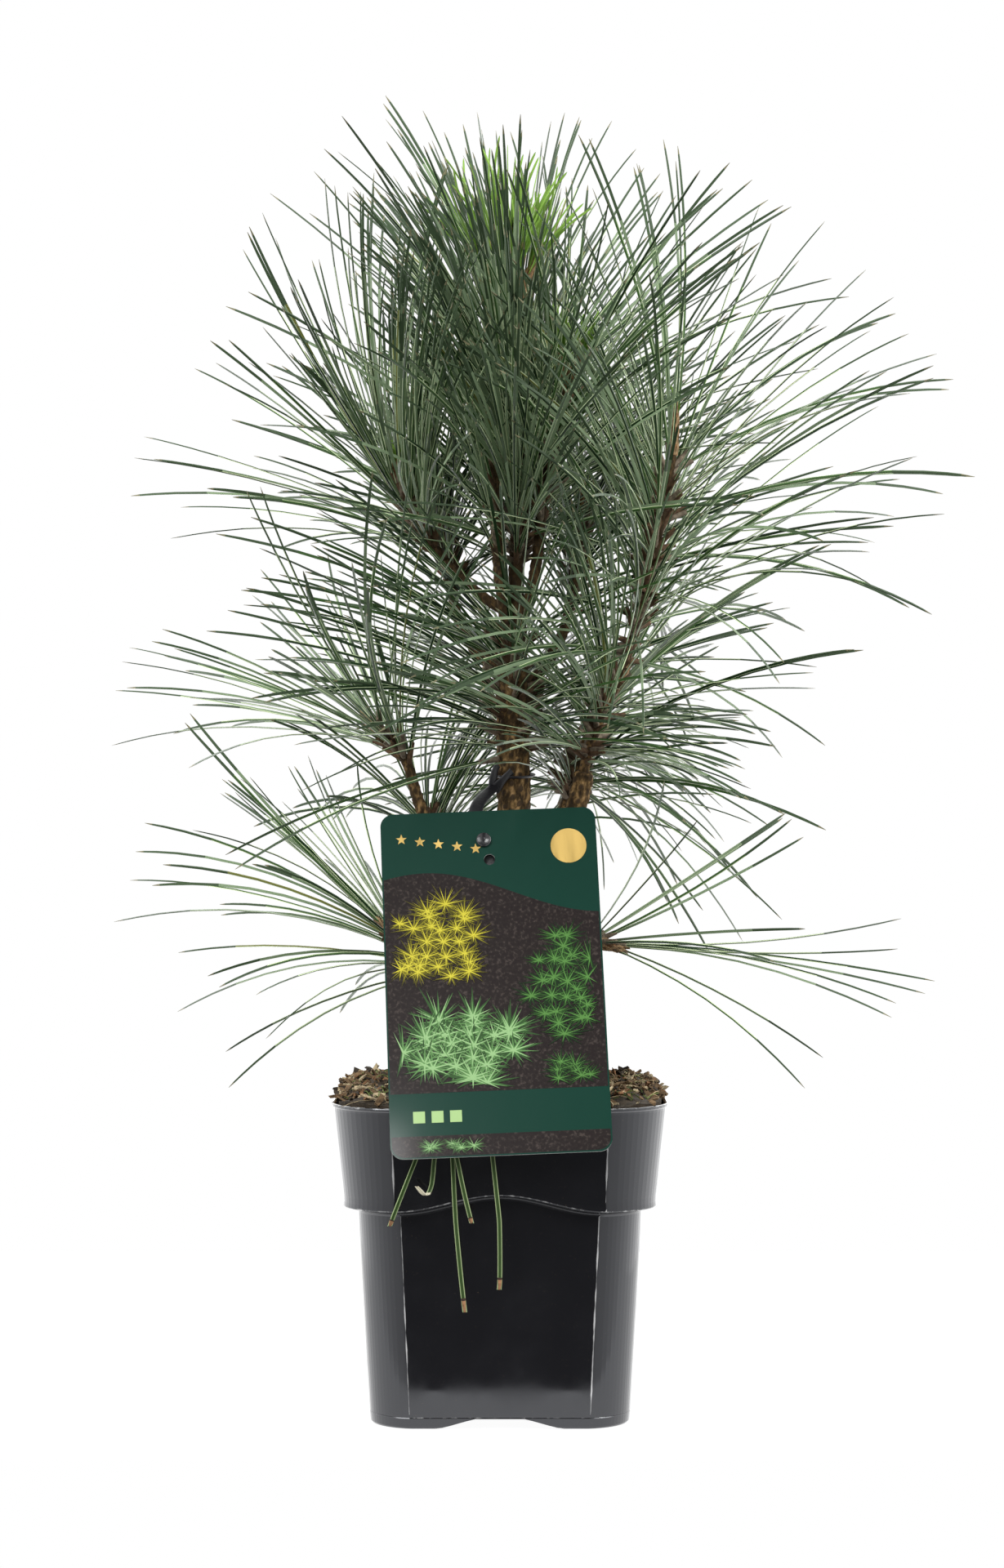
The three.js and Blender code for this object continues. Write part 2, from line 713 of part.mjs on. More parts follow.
function tieSolid() {
  const { across, up } = CARD.tieHole;
  const { width, thickness, turns, steps, ring, knot, start, droop, shank, button } = TIE;
  const centre = trunkPath.getPointAt(shareAtHeight(trunkPath, TIE.height));
  const ringRadius = trunkRadius(TIE.height) + 2 * CLEARANCE + ring.radius;
  const loop = new THREE.TorusGeometry(ringRadius, ring.radius, ring.sides, ring.steps);
  loop.translate(centre.x, centre.y, centre.z);
  const end = centre.clone().addScaledVector(toVector(knot).normalize(), ringRadius);
  const behind = onCard(across, up, -start);
  const turn = new THREE.Vector3(behind.x - 1, mix(behind.y, end.y, 0.35), end.z - droop);
  const strapPath = new THREE.QuadraticBezierCurve3(behind, turn, end);
  const frames = strapPath.computeFrenetFrames(steps, false);
  const strap = loft(
    frames.tangents.map((_, i) => {
      const twist = ((turns * i) / steps) * Math.PI;
      const wide = frames.normals[i].clone().applyAxisAngle(frames.tangents[i], twist);
      const thin = frames.tangents[i].clone().cross(wide);
      const centreLine = strapPath.getPointAt(i / steps);
      return [[1, 1], [-1, 1], [-1, -1], [1, -1]].map(([a, b]) =>
        centreLine
          .clone()
          .addScaledVector(wide, (a * width) / 2)
          .addScaledVector(thin, (b * thickness) / 2),
      );
    }),
  );
  const front = CARD.thickness + CLEARANCE;
  const post = (radius, from, to, sides) =>
    tube(new THREE.LineCurve3(onCard(across, up, from), onCard(across, up, to)), () => radius, sides, 1);
  pathChain("label_tie", strapPath, () => width / 2, 8);
  return wasm.Manifold.union([
    solidOf(loop),
    strap,
    post(shank, -start - OVERRUN, front + OVERRUN, 8),
    post(button.radius, front, front + button.thickness, 12),
  ]).subtract(grownTrunk);
}

addPart("label_tie", geometryOf(mainBody(tieSolid())), COLOURS.tie, 0.5);

// Fallen needle pairs: each hangs in front of the pot from between card and rim

function caughtPair({ across, low, slant, length, forward = 0 }, index) {
  const over = -POT.rim.half - PAIR.clearance - PAIR.radius - forward;
  const leanBack = Math.tan(radians(CARD.lean));
  // Up to the rim a pair hangs straight down, and above it lies against the back of the card.
  const pointAt = (height, aside) => {
    const drift = (Math.min(height, POT.height) - low) * slant;
    const back = Math.max(0, height - POT.height) * leanBack;
    return new THREE.Vector3(across + drift + aside, over + back, height);
  };
  const level = [new THREE.Vector3(1, 0, 0), new THREE.Vector3(0, 1, 0)];
  const strand = (side) => {
    const bend = Math.min(POT.height, low + length - 2 * PAIR.point);
    const heights = [low + PAIR.sheath * 0.7, bend, low + length];
    const rings = heights.map((height, i) => {
      const aside = (side * PAIR.spread * (i + 0.3)) / 2;
      return roundRing(pointAt(height, aside), ...level, i === 0 ? PAIR.radius * 0.4 : PAIR.radius, 3);
    });
    return loft(rings, pointAt(low + length + PAIR.point, side * PAIR.spread * 1.2));
  };
  const sheathPath = new THREE.LineCurve3(pointAt(low - 2, 0), pointAt(low + PAIR.sheath, 0));
  const sheath = tube(sheathPath, (share) => mix(0.7, PAIR.sheathRadius, share), 5, 1);
  const solid = wasm.Manifold.union([strand(-1), strand(1), sheath]);
  addPart("caught_needles_" + (index + 1), geometryOf(mainBody(solid)), COLOURS.pair, 0.7);
}

CAUGHT_PAIRS.forEach(caughtPair);

// Masses of needles

for (const shoot of SHOOTS) {
  if (shoot.around) {
    const carrier = shoot.around === "trunk" ? trunkPath : limbs.get(shoot.around).path;
    shoot.path = carrier;
    shoot.range = shoot.span.map((height) => shareAtHeight(carrier, height));
  } else {
    const limb = limbs.get(shoot.limb);
    const foot = limb
      ? limb.path.getPointAt(1).addScaledVector(limb.path.getTangentAt(1), CLEARANCE)
      : toVector(shoot.foot);
    shoot.path = new THREE.QuadraticBezierCurve3(foot, toVector(shoot.elbow), toVector(shoot.tip));
    shoot.range = [0.08, 0.97];
  }
  const ends = shoot.around ? shoot.range : [0, 1];
  const points = Array.from({ length: 7 }, (_, i) => shoot.path.getPointAt(mix(...ends, i / 6)));
  stems.set(shoot.name, points);
  chains.push(chainOf(shoot.name, points, points.map((point) => stemRadius(shoot, point))));
}

// The outer radius of what carries a shoot's needles: its own stem, or a thin sleeve round a limb.
function stemRadius(shoot, point) {
  if (!shoot.around) return STEM.radius[0];
  const inner = shoot.around === "trunk" ? trunkRadius(point.z) : limbs.get(shoot.around).radius[0];
  return (inner + CLEARANCE + SLEEVE.wall) * SLEEVE.swell;
}

function stemSolid(shoot, grow = 0) {
  if (!shoot.around) {
    return tube(shoot.path, (share) => mix(...STEM.radius, share), STEM.sides, STEM.steps, grow);
  }
  const [first, last] = shoot.range;
  const { steps, sides } = SLEEVE;
  const shares = Array.from({ length: steps + 1 }, (_, i) => mix(first - 0.01, last + 0.01, i / steps));
  const path = new THREE.CatmullRomCurve3(shares.map((share) => shoot.path.getPointAt(share)));
  return tube(path, (_, point) => stemRadius(shoot, point), sides, steps, grow);
}

// What a shoot's stem has to clear: the limb it stands on or round, and limbs that rise beside it.
function carrierSolid(shoot) {
  if (shoot.after) return stemSolid(SHOOTS.find(({ name }) => name === shoot.after), CLEARANCE);
  if (shoot.around !== "trunk") {
    const { path, radius } = limbs.get(shoot.around ?? shoot.limb);
    return limbSolid(path, radius, CLEARANCE);
  }
  const [lowest, highest] = shoot.span;
  const beside = LIMBS.filter(({ rise }) => rise > lowest - LIMB_REACH && rise < highest);
  const solids = beside.map(({ name }) => limbs.get(name));
  return wasm.Manifold.union([
    grownTrunk,
    ...solids.map(({ path, radius }) => limbSolid(path, radius, CLEARANCE)),
  ]);
}

SHOOTS.forEach((shoot, index) => {
  const random = seededRandom(index + 1);
  const parts = [stemSolid(shoot)];
  if (shoot.name === "leader_needles") {
    const top = toVector(TRUNK.tip).setZ(LEADER_CANDLES.foot + 6);
    const cap = new THREE.LineCurve3(trunkPath.getPointAt(shoot.range[1]), top);
    parts.push(tube(cap, (_, point) => stemRadius(shoot, point), SLEEVE.sides, 2));
    parts.push(...leaderCandles(random));
  }
  if (shoot.name === "middle_needles") {
    const foot = shoot.path.getPointAt(0.98);
    const top = foot.clone().addScaledVector(shoot.path.getTangentAt(1), MIDDLE_CANDLE.height);
    parts.push(...candleSolids(shoot.name, foot, top, MIDDLE_CANDLE, random));
  }
  if (shoot.name === "right_needles") {
    const foot = shoot.path.getPointAt(0.97);
    const bud = new THREE.LineCurve3(foot, foot.clone().setZ(foot.z + RIGHT_BUD.height));
    parts.push(tube(bud, (share) => RIGHT_BUD.radius * (1 - 0.7 * share), 6, 1));
  }
  parts.push(...growNeedles(shoot, random));
  const solid = wasm.Manifold.union(parts).subtract(carrierSolid(shoot));
  addPart(shoot.name, geometryOf(mainBody(solid)), COLOURS.needle, 0.6);
});

export default plant;
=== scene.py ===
"""The looks of a young Austrian pine in a square nursery pot, built on its packed solids.

Sizes are in millimetres and angles in degrees until a mesh is made. +Z is up, and the front faces -Y.
"""

import math

import bpy
import numpy as np
from mathutils import Matrix, Vector, noise


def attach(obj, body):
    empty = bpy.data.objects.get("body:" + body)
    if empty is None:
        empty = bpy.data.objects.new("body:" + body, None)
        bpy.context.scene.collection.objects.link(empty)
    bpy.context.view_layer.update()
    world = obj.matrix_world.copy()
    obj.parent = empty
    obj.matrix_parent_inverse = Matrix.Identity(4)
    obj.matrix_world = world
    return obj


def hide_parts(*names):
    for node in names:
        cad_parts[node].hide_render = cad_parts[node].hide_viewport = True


bl_info = {
    "name": "Potted Austrian pine",
    "version": (1, 0, 0),
    "blender": (4, 5, 0),
    "location": "View3D > Sidebar > Pine",
    "description": "Builds the bark, needles, soil, pot and card of a potted pine on its solids",
    "category": "Add Mesh",
}

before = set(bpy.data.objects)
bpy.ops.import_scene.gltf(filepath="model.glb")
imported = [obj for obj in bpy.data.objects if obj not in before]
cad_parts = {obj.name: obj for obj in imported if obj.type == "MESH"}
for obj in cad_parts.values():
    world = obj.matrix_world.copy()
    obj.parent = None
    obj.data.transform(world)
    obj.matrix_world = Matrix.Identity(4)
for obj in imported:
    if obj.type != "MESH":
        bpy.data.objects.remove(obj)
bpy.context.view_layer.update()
MM = 0.001

# The plant's own measures. Trunk, limbs, pot and card have those of the solids, but for the trunk's foot,
# 0.3 mm lower. The shoots' and needles' values are the scene's own, so its needles aren't the solids'.

CLEARANCE = 0.3
SOIL_TOP = 127
TRUNK_POINTS = [
    (1, 0, SOIL_TOP), (3.2, -0.5, 180), (5.6, 0, 240), (4.9, 0, 278),
    (5.9, 0, 311), (6.6, 0.5, 347), (4.6, 1, 441),
]
TRUNK_GIRTH = [
    (127, 10.5), (133, 8), (145, 7), (240, 6.7), (285, 6.4), (311, 4.6), (325, 3.3), (350, 2.3), (441, 1.5),
]
# Each limb: the height at which it leaves the trunk, its elbow, its tip and its two radii.
LIMBS = {
    "cut_leader": (305, (-1, -9.5, 317), (-2.3, -8, 380), (2.7, 2.2)),
    "middle_bough": (309, (13.5, -1, 322), (15.6, -1.5, 346), (2.5, 2)),
    "upper_left_bough": (316, (-12, 4, 325), (-24, 3, 340.5), (2.2, 1.8)),
    "right_bough": (203, (29, -3, 219), (33.6, -5, 254), (4.6, 3.8)),
    "left_bough": (196, (-26, -4, 214), (-35.6, -7, 252), (2.8, 2.1)),
    "low_right_bough": (166, (18, -9, 172), (31, -13, 183), (2.6, 2)),
    "low_left_bough": (150, (-18, -8, 155), (-27, -11, 168), (2.6, 2)),
    "back_left_bough": (292, (-13, 20, 300), (-19, 30, 322), (2.8, 2.1)),
    "back_right_bough": (284, (19, 21, 292), (27, 32, 314), (2.8, 2.1)),
    "back_low_left_bough": (190, (-14, 22, 198), (-21, 31, 214), (2.8, 2)),
    "back_low_right_bough": (216, (20, 24, 222), (27, 33, 240), (2.8, 2)),
}
# Needles stand round a stem that grows on from a limb's tip, or round a limb between two heights. Each
# shoot has the number of pairs tried, of which those without room are left out, their lean at its foot and
# at its tip with the spread of it, their length and their sag. common is the share of needles that keep to
# their usual length, and the rest stray to the crown's edge. light makes the greens darker where it is
# under 1, and no needle ends below lowest. A search program that compared the needles' cover with a mask of
# the photo found the pairs, leans, spreads, lengths and sags.
# A light under 1 is painted shade for sprays deep in the crown: darker greens, and inner sides no paler than
# the rest.
SHOOTS = {
    "leader_needles": dict(
        around="trunk", span=(335, 414),
        pairs=304, lean=(74, 19), spread=20, length=128, sag=0.0, common=0.8,
    ),
    "cut_leader_needles": dict(
        around="cut_leader", span=(336, 374),
        pairs=24, lean=(57, 34), spread=13, length=111, sag=0.03,
    ),
    "trunk_needles": dict(
        around="trunk", span=(258, 304),
        pairs=122, lean=(94, 57), spread=16, length=118, sag=0.01, light=0.6,
    ),
    "middle_needles": dict(
        limb="middle_bough", elbow=(18, -2, 376), tip=(26, -3, 404),
        pairs=84, lean=(51, 33), spread=20, length=130, sag=0.02,
    ),
    "upper_left_needles": dict(
        limb="upper_left_bough", elbow=(-33, 3, 351), tip=(-43, 3, 366),
        pairs=114, lean=(72, 21), spread=24, length=123, sag=0.0, common=0.78, lowest=354,
    ),
    "right_low_needles": dict(
        limb="right_bough", elbow=(36, -6, 268), tip=(47, -7, 289),
        pairs=118, lean=(94, 46), spread=16, length=105, sag=0.02, common=0.8, lowest=236,
    ),
    "right_needles": dict(
        foot=(47.2, -7, 289.6), elbow=(60, -9, 325), tip=(69, -12, 381),
        pairs=180, lean=(90, 28), spread=30, length=125, sag=0.05, common=0.7,
    ),
    "left_needles": dict(
        limb="left_bough", elbow=(-38, -7, 262), tip=(-48, -8, 270),
        pairs=44, lean=(56, 55), spread=12, length=131, sag=0.02, common=0.7, lowest=250,
    ),
    "low_right_needles": dict(
        limb="low_right_bough", elbow=(36, -14.5, 186.6), tip=(41, -16, 185.2),
        pairs=8, lean=(47, 10), spread=8, length=123, sag=0.03,
    ),
    "low_left_needles": dict(
        limb="low_left_bough", elbow=(-31, -12, 178), tip=(-42, -13, 188),
        pairs=24, lean=(88, 6), spread=12, length=118, sag=0.08,
    ),
    "back_left_needles": dict(
        limb="back_left_bough", elbow=(-21, 35, 342), tip=(-26, 42, 366),
        pairs=64, lean=(72, 26), spread=22, length=105, sag=0.06, light=0.8,
    ),
    "back_right_needles": dict(
        limb="back_right_bough", elbow=(31, 38, 334), tip=(34, 44, 360),
        pairs=84, lean=(74, 24), spread=10, length=127, sag=0.03, light=0.8,
    ),
    "back_low_left_needles": dict(
        limb="back_low_left_bough", elbow=(-25, 36, 223), tip=(-31, 42, 234),
        pairs=68, lean=(74, 43), spread=10, length=123, sag=0.14, light=0.6,
    ),
    "back_low_right_needles": dict(
        limb="back_low_right_bough", elbow=(30, 37, 251), tip=(35, 42, 264),
        pairs=72, lean=(100, 60), spread=9, length=124, sag=0.07, light=0.6,
    ),
}
STEM_RADII = (2.1, 1.5)
NEEDLE = dict(
    length=124, shortest=0.72, longest=1.05, knee_share=0.5, arch=6, spread=14, least_lean=2,
    crowding=0.85, sag=0.07, shared_space=50, tries=4, try_turn=37, turn_spread=20, parting=0.5,
    common=0.86, stray=1.1,
)
GOLDEN_TURN = 137.508
BERTH = 2.0

POT = dict(
    height=125, wall=1.2, foot=(50.6, 16), waist=(55.3, 17.2), shoulder=(60.8, 20.5), rim=(65, 23.4),
    waist_height=82.9, shoulder_height=87, wave=6.4,
)
ARCH = dict(height=4, half_width=24, top_half_width=10, pad=12)
CARD = dict(
    width=84, height=136.5, thickness=0.8, corner=5, roll=2.4, lean=18.2, foot=(0.8, 108.2),
    stand_off=2.9, holes=((-1.9, 124.6, 2.0), (0, 116.6, 2.2)),
)
TIE = dict(height=252, width=5, knot=(-0.7, -0.8))


# Settings that a user may change

def length(label, about, default):
    """A length setting in metres, given in millimetres."""
    return bpy.props.FloatProperty(name=label, description=about, default=default * MM, unit="LENGTH")


def colour(label, about, default):
    """A colour setting."""
    return bpy.props.FloatVectorProperty(
        name=label, description=about, default=default, size=3, min=0, max=1, subtype="COLOR",
    )


class PineFoliage(bpy.types.PropertyGroup):
    """Sizes and colours of the needles."""

    width: length("Needle width", "Width of one needle at its widest", 1.22)
    sheath: length("Sheath length", "Length of the brown sheath that holds a pair", 9)
    fullness: bpy.props.FloatProperty(
        name="Fullness", description="Share of the usual number of needle pairs", default=1.0, min=0.1, max=2,
    )
    deep: colour("Deep green", "Colour of the darkest needles", (0.012, 0.034, 0.010))
    green: colour("Green", "Colour of most needles", (0.046, 0.100, 0.028))
    grey: colour("Grey green", "Colour of the bloomed needles", (0.200, 0.275, 0.160))
    dusk: colour("Dusky ends", "Colour of the outer part of a needle", (0.052, 0.084, 0.042))
    olive: colour("Olive", "Colour of the oldest needles", (0.175, 0.190, 0.050))
    # The pale edges are painted highlights along both edges of each needle.
    edge: colour("Edges", "Colour of the pale edges of a needle", (0.600, 0.700, 0.430))
    tip: colour("Tips", "Colour of the dry tips", (0.180, 0.170, 0.095))
    young: colour("New growth", "Colour of the new needles", (0.190, 0.330, 0.060))


class PineBark(bpy.types.PropertyGroup):
    """Relief and colours of the bark."""

    relief: length("Relief", "How far the scars of fallen needles stand out", 0.75)
    ridge: colour("Ridges", "Colour of the bark between the scars", (0.270, 0.165, 0.066))
    scar: colour("Scars", "Colour of the scars", (0.034, 0.022, 0.013))


class PinePot(bpy.types.PropertyGroup):
    """Looks of the pot and its soil."""

    plastic: colour("Plastic", "Colour of the pot", (0.0050, 0.0050, 0.0062))
    # The pale lines along the pot's creases, band edge, foot ring and lip are painted highlights in this
    # colour.
    crease_highlight: colour("Scuffs", "Colour of the worn creases", (0.50, 0.50, 0.50))
    chips: bpy.props.IntProperty(
        name="Bark chips", description="Number of bark chips on the soil", default=1500, min=100, max=4000,
    )


class PineCard(bpy.types.PropertyGroup):
    """Colours of the picture card."""

    ground: colour("Ground", "Colour of the card's border", (0.002, 0.031, 0.020))
    field: colour("Picture ground", "Colour behind the sprigs", (0.012, 0.008, 0.008))
    gold: colour("Gold", "Colour of the badge and stars", (0.62, 0.42, 0.12))


# How far the crown reaches from its middle, seen from the front, every 15 degrees from the right:
# first where it stops being close, then where its last needles end. The same search found these, rounded
# to 5 mm, and CROWN_FADE.
CROWN_MIDDLE = (9.2, 353.4)
CROWN = (
    (50, 185), (90, 185), (65, 180), (70, 165), (55, 170), (70, 165), (150, 170), (155, 180),
    (120, 195), (75, 165), (50, 150), (65, 165), (70, 150), (90, 185), (50, 190), (80, 195),
    (130, 200), (100, 190), (100, 190), (75, 200), (145, 195), (110, 165), (40, 130), (45, 170),
)
CROWN_FADE = 1.75
VIEW_DISTANCE, VIEW_HEIGHT = 1230, 248.5


# Curves

def seeded_random(seed):
    """The same run of numbers from 0 to 1 for the same seed."""
    state = seed * 7919 + 17

    def draw():
        nonlocal state
        state = (state * 1664525 + 1013904223) % 4294967296
        return state / 4294967296

    return draw


def mix(a, b, share):
    """The value at a share of the way from a to b."""
    return a + (b - a) * share


def scaled(shade, factor, lift=0.0):
    """A colour made darker or brighter, and no brighter than full."""
    return tuple(min(1, c * factor + lift) for c in shade)


def unit(vector):
    """A vector of length 1 with the same heading."""
    return vector / (np.linalg.norm(vector) + 1e-12)


def turned(vector, axis, degrees):
    """A vector turned about a unit axis."""
    angle = math.radians(degrees)
    return (
        vector * math.cos(angle)
        + np.cross(axis, vector) * math.sin(angle)
        + axis * np.dot(axis, vector) * (1 - math.cos(angle))
    )


def bent(foot, elbow, tip, shares):
    """Points at an array of shares along a smooth bend that leaves the foot towards the elbow."""
    t = shares[:, None]
    return (1 - t) ** 2 * foot + 2 * t * (1 - t) * elbow + t * t * tip


class Curve:
    """A line through space, read by the share of its length."""

    def __init__(self, points):
        self.points = np.asarray(points, float)
        steps = np.linalg.norm(np.diff(self.points, axis=0), axis=1)
        self.run = np.concatenate([[0], np.cumsum(steps)])

    def at(self, share):
        """The point at a share from 0 to 1."""
        goal = np.clip(share, 0, 1) * self.run[-1]
        return np.array([np.interp(goal, self.run, self.points[:, k]) for k in range(3)])

    def heading(self, share):
        """The unit heading at a share."""
        return unit(self.at(min(share + 0.01, 1)) - self.at(max(share - 0.01, 0)))

    def share_at_height(self, height):
        """The share at which a rising curve reaches a height."""
        return float(np.interp(height, self.points[:, 2], self.run) / self.run[-1])

    @classmethod
    def bend(cls, foot, elbow, tip, steps=40):
        """A smooth bend that leaves the foot towards the elbow."""
        foot, elbow, tip = (np.asarray(p, float) for p in (foot, elbow, tip))
        return cls(bent(foot, elbow, tip, np.linspace(0, 1, steps + 1)))

    @classmethod
    def through(cls, points, steps=24):
        """A smooth curve through every point."""
        points = [np.asarray(p, float) for p in points]
        points = [2 * points[0] - points[1], *points, 2 * points[-1] - points[-2]]
        made = []
        for i in range(1, len(points) - 2):
            a, b, c, d = points[i - 1:i + 3]
            ab, bc, cd = (math.sqrt(np.linalg.norm(q - p)) for p, q in ((a, b), (b, c), (c, d)))
            start = ((b - a) / ab - (c - a) / (ab + bc) + (c - b) / bc) * bc
            end = ((c - b) / bc - (d - b) / (bc + cd) + (d - c) / cd) * bc
            for t in np.linspace(0, 1, steps + 1)[:(None if i == len(points) - 3 else -1)]:
                made.append(
                    b + start * t + (3 * (c - b) - 2 * start - end) * t * t
                    + (2 * (b - c) + start + end) * t ** 3
                )
        return cls(made)


def frames_along(points):
    """Headings and two steady cross directions at each of a row of points."""
    headings = np.array([unit(h) for h in np.gradient(points, axis=0)])
    side = unit(np.cross(headings[0], [0.0, 1.0, 0.01]))
    sides = []
    for heading in headings:
        side = unit(side - heading * np.dot(side, heading))
        sides.append(side)
    return headings, np.array(sides), np.cross(headings, sides)


TRUNK = Curve.through(TRUNK_POINTS)


def trunk_radius(height):
    """The trunk's radius at a height."""
    return float(np.interp(height, *zip(*TRUNK_GIRTH)))


def limb_curve(name):
    """The middle line of a limb from the middle of the trunk to its tip."""
    rise, elbow, tip, _ = LIMBS[name]
    return Curve.bend(TRUNK.at(TRUNK.share_at_height(rise)), elbow, tip)


LIMB_CURVES = {name: limb_curve(name) for name in LIMBS}


def shoot_curve(shoot):
    """The line that a shoot's needles stand round, and the range of it that bears them."""
    if "around" in shoot:
        curve = TRUNK if shoot["around"] == "trunk" else LIMB_CURVES[shoot["around"]]
        return curve, [curve.share_at_height(height) for height in shoot["span"]]
    foot = shoot.get("foot")
    if foot is None:
        foot = LIMB_CURVES[shoot["limb"]].at(1)
    return Curve.bend(foot, shoot["elbow"], shoot["tip"]), (0.08, 0.97)


# Meshes

def finished(obj, name, materials, node_slot, *replaced):
    """Names a piece, dresses it, and fixes it to the plant in place of its solids."""
    obj.name = name
    obj.data.name = name
    for material in materials:
        obj.data.materials.append(material)
    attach(obj, "root")
    if replaced:
        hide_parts(*replaced)
    return obj


def select_only(obj):
    """Makes one object the selected and active one."""
    bpy.ops.object.select_all(action="DESELECT")
    obj.select_set(True)
    bpy.context.view_layer.objects.active = obj


def smooth(obj, degrees=40):
    """Smooth shading with sharp edges past an angle."""
    select_only(obj)
    bpy.ops.object.shade_smooth_by_angle(angle=math.radians(degrees))


def wrapped(columns, rows, place, close=True, attributes=()):
    """A grid wrapped round into a skin: place takes arrays across and up, from 0 to 1, to points in mm.

    attributes names further values that place returns after the points, kept on the vertices.
    """
    bpy.ops.object.select_all(action="DESELECT")
    bpy.ops.mesh.primitive_grid_add(x_subdivisions=columns, y_subdivisions=rows, size=1, location=(0, 0, 0))
    obj = bpy.context.object
    mesh = obj.data
    flat = np.empty(len(mesh.vertices) * 3)
    mesh.vertices.foreach_get("co", flat)
    flat = flat.reshape(-1, 3)
    made = place(flat[:, 0] + 0.5, flat[:, 1] + 0.5)
    points, values = (made[0], made[1:]) if attributes else (made, ())
    mesh.vertices.foreach_set("co", (np.asarray(points) * MM).ravel())
    for label, value in zip(attributes, values):
        layer = mesh.attributes.new(label, "FLOAT", "POINT")
        layer.data.foreach_set("value", np.asarray(value, np.float32))
    while mesh.uv_layers:
        mesh.uv_layers.remove(mesh.uv_layers[0])
    bpy.ops.object.mode_set(mode="EDIT")
    bpy.ops.mesh.select_all(action="SELECT")
    bpy.ops.mesh.remove_doubles(threshold=1e-6)
    if close:
        bpy.ops.mesh.fill_holes(sides=0)
    bpy.ops.mesh.select_all(action="SELECT")
    bpy.ops.mesh.normals_make_consistent(inside=False)
    bpy.ops.object.mode_set(mode="OBJECT")
    return obj


def joined(name, points, faces, slots=None):
    """One mesh from arrays of points in mm and faces, with a material slot for each face."""
    mesh = bpy.data.meshes.new(name)
    mesh.from_pydata(np.asarray(points, float) * MM, [], faces)
    if slots is not None:
        mesh.polygons.foreach_set("material_index", np.asarray(slots, np.int32))
    mesh.validate()
    mesh.update()
    obj = bpy.data.objects.new(name, mesh)
    bpy.context.scene.collection.objects.link(obj)
    return obj


class Heap:
    """Gathers many small solids into one mesh."""

    def __init__(self):
        self.points, self.faces, self.slots, self.count = [], [], [], 0

    def add(self, points, faces, slots):
        """Adds one solid; slots is one slot, or one for each face."""
        self.points.append(points)
        self.faces += [[i + self.count for i in face] for face in faces]
        self.slots += [slots] * len(faces) if isinstance(slots, int) else list(slots)
        self.count += len(points)

    def rod(self, line, radii, sides, slot):
        """Adds a closed tapering rod along a row of points."""
        _, across, out = frames_along(np.asarray(line, float))
        angles = np.arange(sides) * 2 * math.pi / sides
        rings = [
            p + r * (np.cos(angles)[:, None] * a + np.sin(angles)[:, None] * b)
            for p, r, a, b in zip(line, radii, across, out)
        ]
        self.add(np.concatenate(rings), rod_faces(len(line), sides), slot)

    def mesh(self, name):
        """The gathered solids as one object."""
        return joined(name, np.concatenate(self.points), self.faces, self.slots)


def rod_faces(rings, sides):
    """The faces of a rod of rings, both ends closed."""
    faces = [list(range(sides))[::-1]]
    for ring in range(rings - 1):
        low = ring * sides
        for i in range(sides):
            j = (i + 1) % sides
            faces.append([low + i, low + j, low + sides + j, low + sides + i])
    return faces + [[(rings - 1) * sides + i for i in range(sides)]]


# Materials

class Nodes:
    """The nodes of a material or of the world, added and joined one by one."""

    def __init__(self, tree):
        self.tree = tree

    def node(self, kind, inputs=(), **settings):
        """Adds a node; inputs pairs a socket with a value or with another node's output."""
        made = self.tree.nodes.new("ShaderNode" + kind)
        for setting, value in settings.items():
            setattr(made, setting, value)
        for socket, value in inputs:
            if isinstance(value, bpy.types.NodeSocket):
                self.tree.links.new(value, made.inputs[socket])
            else:
                made.inputs[socket].default_value = value
        return made

    def maths(self, operation, *values, **settings):
        """A value worked out from others by one operation."""
        return self.node("Math", enumerate(values), operation=operation, **settings).outputs[0]

    def between(self, value, low, high, start=0.0, end=1.0, **settings):
        """A value mapped onto another range."""
        made = self.node(
            "MapRange",
            [("Value", value), ("From Min", start), ("From Max", end), ("To Min", low), ("To Max", high)],
            **settings,
        )
        return made.outputs["Result"]


class Finish(Nodes):
    """A material of one shader, whose sockets are set or fed by other nodes."""

    def __init__(self, name, colour, roughness=0.5, **sockets):
        self.material = bpy.data.materials.new(name)
        self.material.use_nodes = True
        super().__init__(self.material.node_tree)
        self.shader = self.tree.nodes["Principled BSDF"]
        self.set("Base Color", (*colour, 1))
        self.set("Roughness", roughness)
        for socket, value in sockets.items():
            self.set(socket.replace("_", " "), value)

    def set(self, socket, value):
        """Sets one of the shader's own sockets."""
        self.shader.inputs[socket].default_value = value

    def feed(self, output, socket):
        """Joins an output to one of the shader's sockets."""
        self.tree.links.new(output, self.shader.inputs[socket])

    def place(self):
        """The place on the object, in metres."""
        return self.node("TexCoord").outputs["Object"]

    def noise(self, scale, detail=3.0, stretch=(1, 1, 1)):
        """Cloudy noise of about scale patches a metre."""
        mapping = self.node("Mapping", [("Vector", self.place()), ("Scale", stretch)])
        made = self.node(
            "TexNoise", [("Vector", mapping.outputs["Vector"]), ("Scale", scale), ("Detail", detail)]
        )
        return made.outputs["Fac"]

    def ramp(self, value, stops):
        """Colours dealt out along a value from 0 to 1."""
        made = self.node("ValToRGB", [("Fac", value)])
        elements = made.color_ramp.elements
        while len(elements) < len(stops):
            elements.new(0.5)
        for element, (position, stop) in zip(elements, stops):
            element.position = position
            element.color = (*stop, 1)
        return made.outputs["Color"]

    def blend(self, share, low, high):
        """A colour mixed from two, each a colour or another node's output."""
        low, high = (
            value if isinstance(value, bpy.types.NodeSocket) else (*value, 1) for value in (low, high)
        )
        return self.node("Mix", [(0, share), (6, low), (7, high)], data_type="RGBA").outputs[2]

    def bump(self, height, distance, strength=1.0):
        """Raises the surface by a pattern, in mm."""
        made = self.node("Bump", [("Height", height), ("Distance", distance * MM), ("Strength", strength)])
        self.feed(made.outputs["Normal"], "Normal")


